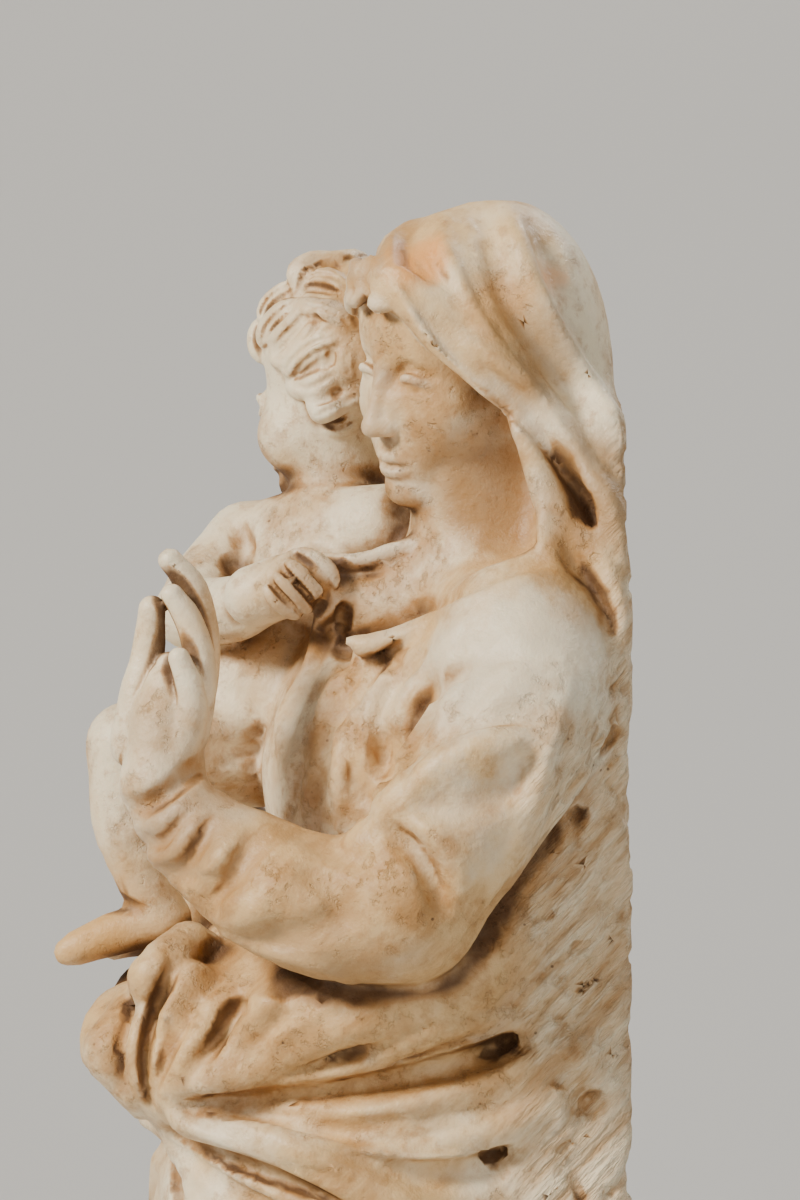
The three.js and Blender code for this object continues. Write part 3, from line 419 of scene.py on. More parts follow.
def shapeMantle():
    # from under the arms to below the knee, with its hem falling lower at her right
    low, high, shell = loft([
        [100, 0, 6, 88, 82], [180, 2, 4, 88, 84], [280, 3, 2, 88, 86], [370, 0, 4, 86, 86],
        [430, -2, 6, 86, 84],
        [480, -4, 8, 82, 80], [505, -4, 12, 74, 72],
    ], square=2.4, rounding=14)

    def distance(x, y, z):
        angle = np.arctan2(y, x)
        hem = 150 + 46 * np.cos(angle - 0.4) + 5 * np.sin(7 * angle)
        return -smoothMin(-shell(x, y, z), -(hem - z), 5)

    clay.add((low, high, distance), 3)
    # the thigh, knee and shin of the leg that bends
    clay.add(limb([[34, -10, 390, 44], [44, -38, 300, 42], [48, -54, 236, 34], [46, -44, 190, 26],
                   [44, -34, 150, 20]]), 26)


def shapeMantleFolds():
    # the folds run out like a fan from the place at her waist where the cloth is gathered
    clay.carveBetween([[-68, 432], [-34, 408], [10, 388], [66, 366]],
                      [[-74, 424], [-58, 330], [-20, 250], [30, 200]],
                      6, 14, ridgeAndGroove, 90)
    clay.carveBetween([[24, 430], [50, 350], [66, 270], [70, 190]],
                      [[-2, 436], [-40, 370], [-62, 270], [-66, 150]],
                      7, 14, ridgeAndGroove, 0)
    clay.carveBetween([[78, 430], [70, 300], [60, 140]], [[-50, 470], [-52, 300], [-50, 160]],
                      8, 13, ridgeAndGroove, -90)


# The veiled head.
head = {"at": [6, 33, 709], "turn": [30, 12, 8]}
inHead = frameAt(head["at"], head["turn"])


def shapeVeil():
    clay.add(egg([6, 45, 702], [44, 38, 60]), 8)
    clay.add(egg([8, 34, 717], [40, 38, 42]), 10)
    clay.add(egg([12, 21, 727], [30, 25, 27]), 8)
    clay.add(egg([4, 64, 640], [56, 28, 66]), 14)
    clay.cut(egg(inHead(0, -56, -28), [52, 40, 70], head["turn"]), 6)
    clay.cut(egg([46, 8, 664], [38, 50, 40]), 8)
    # the deep hollow beside her neck, and the pocket between the edge and the folds behind it
    clay.cut(egg([48, 38, 660], [25, 19, 38]), 6)
    clay.cut(limb([[57, 50, 678, 3], [61, 59, 668, 5.5], [62, 66, 659, 6], [61, 71, 652, 4]]), 5)
    nearEdge = [
        [12, 12, 748, 5], [25, 6, 745, 5.5], [36, 4, 738, 5.5], [44, 10, 727, 6], [48, 20, 714, 6.5],
        [51, 33, 702, 6], [53, 46, 688, 4.5], [54, 54, 672, 4.5], [55, 60, 656, 6], [57, 67, 640, 7],
        [58, 72, 622, 7],
        [58, 79, 606, 6],
    ]
    clay.add(limb(nearEdge), 3)
    farEdge = [
        [12, 12, 748, 5], [0, 6, 744, 5.5], [-12, 8, 732, 6], [-19, 11, 713, 6.5], [-23, 17, 689, 7],
        [-28, 27, 660, 8], [-36, 40, 630, 10], [-50, 52, 598, 9],
    ]
    clay.add(limb(farEdge), 6)


def shapeVeilFolds():
    clay.carveAll([
        # the broad folds that sweep back and down
        ([[9, 750], [11, 732], [25, 710], [45, 691], [65, 667], [80, 643]], 6, -6, (1, 1)),
        ([[22, 756], [33, 728], [52, 701], [74, 672], [87, 643]], 8, 5),
        ([[26, 752], [38, 724], [57, 699], [78, 668]], 5, -5, (1, 1)),
        ([[36, 758], [44, 728], [65, 696], [81, 667]], 9, -7, (1, 1)),
        ([[45, 758], [56, 732], [76, 696], [85, 678]], 9, 5),
        ([[56, 752], [66, 725], [80, 700]], 8, -6, (1, 1)),
        # the two layers that hang beside the neck
        ([[51, 678], [59, 657], [67, 631], [76, 610], [83, 597]], 8, 5),
        ([[80, 657], [84, 635], [86, 617], [87, 604]], 8, 5),
        ([[62, 655], [72, 632], [80, 606]], 7, -8, (-1, 0.4)),
        ([[66, 634], [74, 616], [82, 600]], 4, -4),
    ], strength=1.35)
    clay.carveAll([
        # fine creases and a turned edge
        ([[3, 748], [0, 738], [5, 722], [14, 708]], 3, -2.2),
        ([[16, 752], [22, 738], [34, 722]], 3, -1.6),
        ([[30, 757], [33, 745], [40, 730]], 2.6, -1.6),
        ([[41, 757], [44, 744], [50, 735]], 2.6, -1.4),
        ([[18, 712], [34, 697], [50, 685], [62, 672]], 3.2, -1.8),
        ([[30, 716], [45, 704], [58, 690]], 3, 1.6),
        ([[60, 712], [72, 700], [82, 686]], 3, -1.5),
    ], sharp=True)
    clay.carveAll([
        # the hanging end of the veil, over her shoulder
        ([[62.2, 635.3], [63.6, 625.3], [69.3, 616], [76.5, 606], [83.6, 598.2], [87.9, 595.3]],
         6, 5, (-0.2, 1)),
        ([[60.8, 627.4], [65, 616.7], [72.9, 606], [80.8, 596.7]], 5, -7, (-1, -0.6)),
        ([[68.6, 636.7], [73.6, 628.2], [79.3, 619.6], [82.9, 611], [83.6, 605.3]], 5, -7, (-1, 0)),
        ([[75.8, 635.3], [81.5, 625.3], [85.8, 615.3], [87.2, 606.7]], 6, 4, (1, 0)),
        ([[81.5, 639.6], [86.5, 629.6], [89.3, 619.6]], 5, -4, (1, 0)),
        ([[50.8, 685.3], [60.8, 676], [72.9, 663.9], [81.5, 653.9], [85.8, 646.7]], 6, 4, (1, 1)),
        ([[32.9, 709.6], [47.2, 701], [61.5, 691], [75.8, 678.9], [86.5, 667.4]], 7, 4.5, (1, 1)),
        ([[27.5, 721.7], [43.6, 710.3], [59.7, 699.6], [75.8, 688.2]], 6, -3, (1, 1)),
    ])


def stepsFor(part):
    # the steps of the work in a head's own places
    spot = frameAt(part["at"], part["turn"])

    def add(at, radii, blend):
        clay.add(egg(spot(*at), radii, part["turn"]), blend)

    def cut(at, radii, blend):
        clay.cut(egg(spot(*at), radii, part["turn"]), blend)

    def roll(points, blend):
        clay.add(limb([[*spot(*p[:3]), p[3]] for p in points]), blend)

    def line(points, width, height):
        clay.stroke([spot(*p) for p in points], width, height)

    return add, cut, roll, line


def shapeNeck():
    clay.add(limb([[0, 34, 596, 28], [3, 36, 640, 25], [6, 38, 690, 23]]), 10)
    clay.add(limb([[-40, 34, 606, 20], [0, 36, 622, 24], [44, 44, 606, 22]]), 12)


def shapeHead():
    add, cut, roll, line = stepsFor(head)
    add([0, 2, 6], [34, 39, 42], 2)
    add([0, -13, -14], [27, 25, 34], 8)
    add([0, -18, 14], [27, 20.5, 21], 8)
    for side in (-1, 1):
        roll([[side * 22, 0, -24, 9], [side * 10, -21, -40, 8]], 8)
        cut([side * 13.5, -40.6, -1.4], [9, 6, 4.8], 6)
        add([side * 16, -25.5, -15], [12, 10.4, 13], 8)
        roll([[side * 8, -31, -9, 4.5], [side * 9.5, -31.5, -17, 5.5], [side * 11, -30, -25, 6]], 6)
        # eyeball and lids, looking a little down
        add([side * 13.5, -29.4, -2.4], [7, 6.9, 6], 0.8)
        roll([[side * 6.2, -33, -4, 1.1], [side * 9.8, -35.9, -0.9, 1.6], [side * 15, -36.2, -0.3, 1.7],
              [side * 20.8, -31.6, -3.4, 1.2]], 1)
        roll([[side * 6.8, -33.2, -4.6, 0.8], [side * 11, -35.2, -7, 1.2], [side * 16, -34.8, -7.2, 1.2],
              [side * 20.6, -31.4, -4, 0.9]], 1)
        line([[side * 6.4, -34.4, -0.2], [side * 10.5, -36.4, 3.2], [side * 15.5, -36, 3.4],
              [side * 22, -31, 0]], 2.4, -1.3)
        # wing of the nose and nostril
        add([side * 4.3, -40.4, -18.8], [2.8, 4.6, 3.1], 2.6)
        add([side * 5.2, -36.6, -12], [3.4, 4.6, 6], 4)
        cut([side * 2.6, -43.6, -22.4], [1.3, 2.6, 1.2], 1)
    add([0, -31, -31], [14, 9, 11], 5)
    roll([[0, -35.4, 8, 3.2], [0, -39.6, -4, 2.9], [0, -44.6, -16.4, 3]], 4)
    add([0, -44.8, -18.4], [3.6, 3.6, 3.1], 3)
    # lips
    for side in (-1, 1):
        roll([[0, -39, -30.4, 2], [side * 3.4, -39, -29.8, 2.1], [side * 9, -35.2, -32, 1.1]], 2)
    roll([[-8.4, -35.2, -33.8, 1.1], [-3.5, -38.2, -35.3, 2.3], [3.5, -38.2, -35.3, 2.3],
          [8.4, -35.2, -33.8, 1.1]], 2)
    line([[-9.6, -36.2, -32.7], [-4, -40, -32.8], [0, -40.6, -33.2], [4, -40, -32.8], [9.6, -36.2, -32.7]],
         2, -1.5)
    line([[-6, -36.6, -39.5], [0, -38, -39.8], [6, -36.6, -39.5]], 4.5, -1.4)
    line([[0, -42, -24.2], [0, -41, -28.2]], 2, -0.7)
    add([0, -32.6, -43.5], [9.5, 7, 6.2], 6)
    # waved hair, parted in the middle, under the veil's edge
    for side in (-1, 1):
        roll([[side * 1, -34.5, 32, 6], [side * 9, -34.5, 30, 7], [side * 17, -30.5, 27, 6.8],
              [side * 25, -23.5, 20, 6.4], [side * 31, -15, 11, 5.6]], 4)
        for row in (0, 1, 2):
            back, lift = 1.6 * row, 5 * row
            roll([
                [side * 1.5, back - 40.5, lift + 30, 2.2], [side * 7, back - 42, lift + 26.6, 3.2],
                [side * 13.5, back - 39, lift + 27.4, 2.6], [side * 20, back - 34.5, lift + 21, 3.3],
                [side * 26, back - 27.5, lift + 17.5, 2.7], [side * 32, row - 18, lift + 6, 3],
            ], 1.4)


def shapeHairHoles():
    # hollows drilled between the waves of her hair
    clay.carveAll([
        ([[-9.6, 733.9], [-8.9, 731], [-9.6, 728.2]], 2.3, -1.8),
        ([[-5, 733.2], [-3.5, 730.3], [-4.2, 727.4]], 2.3, -1.8),
    ])


# Her raised left arm and hand.

def shapeRaisedArm():
    clay.add(limb([[60, 48, 606, 31], [80, 45, 584, 30], [91, 24, 553, 29], [93, 4, 523, 26]]), 9)
    clay.add(limb([[93, 4, 522, 26], [89, -20, 520, 24.5], [80, -44, 529, 22], [69, -63, 541, 17.5]]), 7)
    clay.add(limb([[66, -66, 543, 16.5], [64, -70, 548, 15]]), 3)
    clay.add(limb([[68, -60, 538, 11], [64, -71, 549, 11], [62, -75, 558, 13]]), 3)


def shapeSleeveFolds():
    clay.carveAll([
        # the fold over the crook of the arm, and the hollow beneath it
        ([[-6, 538], [3, 549], [14, 559], [24, 566], [38, 572], [54, 571]], 9, 7, (0.4, -1)),
        ([[8, 564], [22, 570], [38, 576], [52, 577]], 6, -6, (0, 1)),
        ([[6, 536], [13, 529], [19, 522], [20, 513]], 7, -8, (1, 0.3)),
        ([[12, 540], [24, 530], [28, 516]], 8, 3.5),
        ([[10, 548], [28, 546], [46, 552]], 9, -3),
        ([[58, 568], [50, 556], [42, 548]], 8, -3.5, (-1, 0)),
        ([[66, 592], [62, 566], [54, 540], [42, 514]], 9, 3),
        # below the neckline, into the crook
        ([[30, 602], [16, 592], [6, 580], [2, 570]], 8, 6, (1, 0.4)),
        ([[18, 600], [8, 590], [2, 576]], 5, -6),
        ([[44, 598], [32, 584], [20, 574]], 8, -4),
        # the forearm
        ([[-70, 520], [-56, 522], [-43, 536]], 7, -4.5, (0, -1)),
        ([[-58, 510], [-42, 512], [-29, 526]], 8, 3),
        ([[-44, 500], [-26, 501], [-8, 510]], 8, -3),
        ([[-32, 538], [-12, 529], [4, 524]], 7, -2.5),
    ], strength=1.35)
    # the groove that parts the arm from the block
    clay.carve([[79, 568], [69, 551], [59, 536], [48, 520], [37, 505], [26, 492]], 6, -9, gentle=(1, -0.6))


def shapeBreastFolds():
    # the edge of her dress at the neck
    clay.roll([[-10.7, 605.3], [-2.1, 604.6], [7.9, 607.8], [18.6, 612.1], [32.9, 618.5], [47.2, 625.3],
               [60, 630.3]], 3.2, 1.5, sunk=0)
    clay.carve([[-5.7, 608.9], [7.2, 611.4], [17.9, 616], [32.2, 622.4], [46.5, 629.2], [57.9, 633.2]],
               5, -3, gentle=(0.4, 1))
    clay.carveAll([
        ([[-12, 604], [6, 607], [16, 612], [31, 620], [51, 628], [65, 630]], 4, 3.4, (0.3, -1)),
        ([[-20, 607], [-27, 589], [-33, 578], [-33, 563]], 8, 4),
        ([[-12, 596], [-19, 582], [-23, 564], [-26, 545]], 8, 5, (1, 0)),
        ([[-19, 579], [-14, 586], [-8, 592]], 5, -5),
        ([[-12, 603], [-11, 599], [-14, 594]], 5, -6),
        ([[-28, 562], [-29, 553], [-31, 544]], 4.5, -6),
        ([[-7, 585], [-13, 564], [-14, 542]], 8, 5, (1, 0)),
        ([[-18, 574], [-21, 560], [-21, 548]], 5, -4),
        ([[22, 607], [10, 596], [3, 582], [1, 573]], 8, 5, (1, 0)),
        ([[8, 602], [5, 592], [1, 578]], 5, -5),
        ([[6, 572], [4, 564], [3, 556]], 5, -12),
        ([[0, 590], [-5, 572], [-4, 552]], 6, 3),
        ([[-8, 560], [-4, 546], [-4, 538]], 5, -3),
        ([[36, 612], [24, 602], [14, 590]], 7, -3),
        ([[7.2, 603.9], [-2.1, 593.9], [-12.1, 579.6], [-20, 570.3], [-25.7, 558.2]], 5, -4, (1, 0.6)),
        ([[0.8, 606.7], [-7.8, 596.7], [-17.1, 583.2], [-23.5, 574.6]], 6, 3.5, (-1, 0)),
        ([[18.6, 608.2], [8.6, 595.3], [2.2, 581.7], [-2.1, 566.7], [-4.2, 549.6]], 6, -4, (1, 0.3)),
        ([[26.5, 606.7], [16.5, 594.6], [9.3, 583.2], [6.5, 571]], 7, 4, (1, 0.4)),
        ([[4.3, 572.4], [4.7, 566.7], [3.6, 559.6]], 4.5, -8, (-1, 0)),
        ([[43.6, 612.4], [32.9, 602.4], [22.2, 588.2], [12.9, 571.7], [9.3, 556.7]], 8, -4, (1, 0.6)),
        ([[-13.5, 578.2], [-15, 563.9], [-17.1, 547.4]], 6, 3.5, (1, 0)),
        ([[-9.2, 574.6], [-10, 560.3], [-11.4, 545.3]], 5, -3.5, (1, 0)),
    ], strength=1.25)


def shapeRaisedHand():
    clay.add(egg([60, -76, 570], [12.5, 13.5, 27], [6, -4, 0]), 5)
    clay.add(egg([62, -79, 560], [13, 12.5, 13], [10, 0, 0]), 5)
    clay.add(egg([49, -72, 578], [9, 9.5, 26], [6, 0, 0]), 5)
    clay.add(limb([[58, -78.8, 582.6, 9], [58, -76, 592.9, 7.5], [57, -74.6, 600.5, 5]]), 4)
    digits = {
        "thumb": [[52, -86.4, 573.4, 9], [51, -84.6, 589, 7.6], [51, -81.9, 604.6, 5.8],
                  [53, -80.5, 620, 4.7]],
        "first": [[46, -67.6, 576.4, 7], [42, -64.4, 591.8, 6], [41, -63.7, 607.5, 5.6],
                  [42, -66.2, 623.2, 5], [44, -71.7, 633.1, 4]],
        "middle": [[54, -68.4, 577.1, 7], [50, -64.2, 592.4, 6.2], [49, -62.8, 607.9, 5.8],
                   [49, -66.2, 626.4, 5.2], [50, -74.2, 636.8, 4.2]],
        "ring": [[62, -67.8, 577.7, 7], [60, -64.3, 593.1, 6], [59, -64.6, 605.1, 5.4],
                 [58, -68.4, 617.1, 4.8], [58, -73.6, 625.1, 3.9]],
        "little": [[62, -76, 558.7, 8], [66, -71.2, 572.9, 7], [67, -67.5, 583.9, 6],
                   [67, -67.8, 593.6, 5], [67, -71.3, 603.9, 3.8]],
    }
    for digit in digits.values():
        clay.add(limb(digit), 1.2)
    clay.carveAll([
        # the folds of the cuff, then the creases of the palm and of the wrist
        ([[-88.2, 541], [-82.1, 540.3], [-75, 543.9], [-68.5, 549.6], [-62.8, 554.6]], 5, 4.5, (0.2, -1)),
        ([[-89.2, 545.3], [-82.8, 545.3], [-75.7, 548.9], [-69.2, 554.6], [-63.5, 558.9]], 5, -4.5, (0, 1)),
        ([[-83.9, 536], [-78.5, 534.6], [-73.5, 538.9], [-68.5, 545.3]], 4.5, -3.6, (0.6, -1)),
        ([[-82.1, 530.3], [-75.7, 528.9], [-70, 535.3], [-65, 542.4]], 5, 4, (0.3, -1)),
        ([[-77.8, 525.3], [-70, 526.7], [-64.2, 533.9], [-60, 541.7]], 5, -4.5, (0.6, -1)),
        ([[-72.8, 519.6], [-63.5, 518.9], [-57.8, 525.3], [-54.2, 533.2]], 6, 4, (0.3, -1)),
        ([[-65, 513.9], [-57.1, 515.3], [-52.1, 521.7]], 6, -3.5, (0.3, -1)),
        ([[-58.5, 506], [-49.2, 505.3], [-41.4, 512.1]], 7, 3, (0.3, -1)),
    ])


# Her right arm under the mantle, holding the child, and the cloth gathered over it.

def shapeHoldingArm():
    clay.add(limb([[-66, -10, 606, 29], [-84, 2, 565, 27], [-96, 0, 520, 25], [-92, -30, 500, 24],
                   [-70, -60, 498, 20]]), 10)
    clay.add(egg([-24, -42, 458], [72, 50, 36], [10, 0, 0]), 14)
    clay.add(egg([22, -54, 462], [46, 42, 32], [-8, 0, 0]), 12)
    clay.add(limb([[-98, -44, 530, 9], [-101, -56, 548, 8], [-98, -62, 566, 6.5]]), 5)
    for i in range(4):
        y = -50 - 7.5 * i
        clay.add(limb([[-99, y + 2, 545, 4.6], [-101, y, 560, 4.4], [-96, y - 1, 574, 3.8]]), 1)
    # the loose end of the gathered cloth, and a knob of it below the hand
    clay.add(limb([[-40, -72, 480, 12], [0, -88, 471, 11], [34, -97, 464, 8.5]]), 5)
    clay.add(limb([[44, -68, 484, 12], [42, -76, 492, 10.5], [30, -68, 500, 9]]), 6)


def shapeGatheredFolds():
    # the cloth that fills the place under her elbow
    clay.add(limb([[66, -33.4, 481.3, 14], [74, -13.1, 482.4, 14], [78, 7.2, 484.3, 14],
                   [77, 25.1, 491.7, 13], [73, 39.7, 503.5, 11]]), 10)
    clay.carveAll([
        ([[-78, 492], [-89, 474], [-93, 454], [-86, 438]], 9, 6, (-1, 0)),
        ([[-75, 488], [-81, 472], [-84, 456], [-82, 442]], 5, -8, (1, 0)),
        ([[-66, 488], [-76, 470], [-80, 452], [-79, 442]], 7, 6, (1, 0.3)),
        ([[-66, 472], [-74, 460], [-80, 446]], 4.5, -7, (1, 0)),
        ([[-52, 482], [-65, 466], [-73, 452], [-77, 443]], 8, 7, (1, 0.4)),
        ([[-46, 478], [-51, 475], [-55, 466], [-62, 452]], 5, -9, (-0.4, -1)),
        ([[-40, 476], [-46, 468], [-58, 456], [-66, 446]], 6, 4),
        ([[-9, 482], [-28, 470], [-49, 455], [-62, 446]], 8, 6, (0.5, 1)),
        ([[-16, 479], [-34, 468], [-44, 462]], 5, -6, (0, 1)),
        ([[15, 478], [-14, 463], [-46, 449], [-66, 444]], 9, 6, (0, 1)),
        ([[28, 474], [2, 462], [-30, 452], [-56, 446]], 5, -3),
        ([[40, 480], [14, 470], [-8, 462]], 8, 3),
    ], strength=1.25)
    clay.carveBetween([[-70, 486], [-60, 440], [-20, 424], [18, 436]],
                      [[-20, 496], [-8, 478], [6, 460], [20, 444]],
                      6, 10, [-5, 5], 10)


def shapeMantleBands():
    # the long folds that run back from the place where the cloth is gathered
    clay.carveAll([
        ([[-64, 441], [-28, 445], [8, 451], [36, 459], [48, 464]], 8, -12, (0, -1)),
        ([[-66, 438], [-28, 439], [8, 443], [43, 452], [68, 463]], 8, 7, (0.2, -1)),
        ([[-50, 436], [-28, 432], [-10, 430], [6, 434]], 6, -7, (0, 1)),
        ([[-70, 436], [-40, 428], [-16, 424], [10, 424], [40, 432], [62, 444]], 9, 6, (0, -1)),
        ([[-20, 424], [14, 418], [40, 421], [46, 424]], 7, -12, (0, -1)),
        ([[-68, 431], [-42, 424], [-16, 412], [4, 402], [30, 384]], 11, 9, (0.4, 1)),
        ([[-72, 424], [-50, 410], [-30, 400], [-8, 386]], 8, -8, (-0.3, -1)),
        ([[8, 436], [34, 442], [60, 452]], 6, -3),
        ([[-17.1, 474.6], [0.8, 470.3], [18.6, 471], [36.5, 476.7]], 8, 4, (0, 1)),
        ([[-27.8, 470.3], [-10, 462.4], [11.5, 460.3], [29.3, 463.9]], 6, -3.5, (0, -1)),
        ([[-67.1, 438.2], [-42.1, 435.3], [-17.1, 438.2], [7.9, 443.2]], 6, -4, (0, 1)),
        ([[-70.7, 432.4], [-45.7, 424.6], [-17.1, 418.2], [7.9, 410.3]], 8, 5, (0, 1)),
        ([[-72.1, 428.2], [-56.4, 420.3], [-35, 412.4], [-17.1, 406.7]], 6, -5, (0.3, 1)),
        ([[-74.2, 426], [-67.1, 416], [-56.4, 406.7]], 6, 4, (1, 0)),
        ([[-76.4, 424.6], [-74.2, 415.3], [-70.7, 405.3]], 5, -5, (1, 0)),
        ([[50.8, 463.9], [65, 459.6], [75.8, 452.4]], 7, 3, (0, 1)),
    ], strength=1.45)
    # drilled slots at the ends of the deep grooves
    for drawn, thick in (
        ([[39.3, 460.3], [44.3, 462.4], [48.3, 464.6]], 3.4),
        ([[37.2, 421.7], [41.5, 422.4], [45, 423.9]], 2.8),
        ([[75, 439.2], [80, 440.3]], 3),
    ):
        clay.drill(drawn, thick)


# The child.
childHead = {"at": [-62, -5, 699], "turn": [-32, 6, -4], "lockFullness": 1.08}
inChildHead = frameAt(childHead["at"], childHead["turn"])


def shapeChild():
    clay.add(egg([-50, -22, 627], [36, 23, 26], [48, 0, 0]), 4)
    clay.add(limb([[-68, -44, 638, 14], [-48, -20, 644, 15], [-30, 3, 645, 15]]), 6)
    clay.add(egg([-58, -36, 592], [31, 28, 28], [20, 0, 0]), 14)
    clay.add(egg([-62, -33, 566], [32, 29, 22]), 12)
    clay.add(egg([-46, -42, 591], [26, 24, 26]), 8)
    clay.add(limb([[-54, -14, 642, 17], [-58, -9, 668, 17]]), 6)
    # right arm, reaching across to her neckline
    clay.add(limb([[-68, -46, 638, 14], [-52, -61, 623, 13], [-34, -66, 614, 12.5]]), 5)
    clay.add(limb([[-34, -66, 614, 12.5], [-16, -52, 616, 12], [-2, -39, 621, 9.5]]), 4)
    # left arm, round her neck
    clay.add(limb([[-30, 0, 644, 14], [-36, 22, 647, 12.5], [-46, 40, 643, 11], [-46, 56, 640, 9]]), 5)
    # left leg
    clay.add(limb([[-46, -44, 562, 20], [-30, -68, 568, 18], [-20, -88, 567, 14.5]]), 7)
    clay.add(limb([[-20, -89, 567, 14], [-17, -89, 542, 13.5], [-16, -83, 518, 10], [-16, -77, 504, 9.5]]),
             6)
    clay.add(limb([[-16, -76, 504, 8.5], [-15, -92, 500, 8], [-14, -106, 495, 6.5], [-14, -111, 493, 5]]), 5)
    # right leg
    clay.add(limb([[-82, -46, 560, 20], [-90, -70, 562, 17], [-88, -86, 558, 14]]), 7)
    clay.add(limb([[-88, -86, 558, 13.5], [-74, -80, 532, 12], [-60, -70, 508, 9], [-56, -68, 498, 8.5]]), 6)
    clay.add(limb([[-56, -66, 498, 8], [-57, -82, 494, 7.5], [-58, -94, 490, 5.5]]), 4)


def shapeChildSkin():
    # soft creases of a plump child
    clay.carveAll([
        ([[-50, 645], [-47, 640], [-46, 635]], 6, -6),
        ([[-56, 633], [-47, 632]], 5, -3),
        ([[-54, 612], [-44, 616], [-36, 622]], 5, -2),
        ([[-49, 593], [-46, 592]], 3, -2),
        ([[-57.8, 569.6], [-52.8, 567.4], [-46.4, 567.1], [-41.4, 568.2]], 6, -4, (0, -1)),
        ([[-55.7, 558.2], [-50.7, 562.4], [-43.5, 563.5]], 7, 4, (0, -1)),
        ([[-53.5, 585.3], [-50.7, 578.9], [-45.7, 576.7], [-41.4, 578.9]], 11, 4, (0, 1)),
        ([[-89, 545], [-84, 540], [-78, 539]], 5, -2.5),
        ([[-98, 512], [-90, 512], [-80, 508]], 4, -2.5),
    ])


def shapeGrip():
    # his fist closes on her neckline and pulls the cloth to a point
    clay.add(limb([[6, -44, 622, 11], [10, -32, 626, 11.5], [12, -25, 627, 9]]), 5)
    clay.add(limb([[11, 19.4, 621.6, 14], [6, 11.1, 621, 15], [3, 2.4, 618, 15], [0, -6.4, 613.2, 14]]), 8)
    clay.add(limb([[8, -20, 634, 3.6], [10, -8, 634, 3.2], [11, 4, 637, 3], [12, 12, 641, 2.8]]), 4)
    clay.add(limb([[9, -18, 622, 5.5], [8, -8, 624, 5]]), 5)
    # the thumb, the row of knuckles, then the fingers side by side from the knuckles down to their tips
    for drawn, thick, sunk in (
        ([[-25, 639.2], [-19.2, 639.9], [-14.2, 637.8], [-11.7, 633.5]], 3.6, 0.1),
        ([[-40.7, 621.7], [-37.8, 627.4], [-32.8, 632.8], [-27.1, 637.4]], 3.4, 0.8),
        ([[-27.8, 637.1], [-22.8, 634.6], [-17.8, 630.7], [-15.3, 625.7]], 3.4, -0.25),
        ([[-31.7, 633.2], [-27.1, 628.9], [-22.8, 624.2], [-20.3, 620.3]], 3.3, -0.2),
        ([[-35.7, 628.5], [-31.4, 623.9], [-27.1, 619.6], [-24.6, 616.7]], 3.2, -0.15),
        ([[-39.2, 623.9], [-35.7, 619.6], [-31.4, 616.4], [-28.2, 614.9]], 3, -0.1),
    ):
        clay.roll(drawn, thick, 1, sunk=sunk)
    clay.carveAll([
        ([[-30, 635.3], [-25.7, 632.1], [-21.4, 627.8], [-18.2, 623.2]], 2.4, -1.2),
        ([[-33.9, 631], [-29.6, 626.7], [-25.3, 622.1], [-22.5, 618.2]], 2.4, -1.2),
        ([[-37.8, 626], [-33.9, 621.7], [-29.2, 617.8]], 2.4, -1),
        ([[-18.5, 621.7], [-20.7, 618.5], [-22.1, 616]], 3, -3.4),
    ])
    # the point of the cloth, with the hollow behind it, and the edge drawn up from it over his arm
    clay.roll([[-15, 618.9], [-18.9, 615.3], [-20.7, 609.6], [-22.1, 602.4], [-25.7, 593.9]], 3, 2.5, sunk=0)
    clay.carve([[-14.2, 616], [-14.2, 611.7], [-12.8, 607.4]], 4, -7, gentle=(1, 0))
    clay.roll([[-11.4, 634.6], [-4.2, 635.3], [3.6, 638.2], [10.8, 640.3]], 1.9, 2, sunk=0)


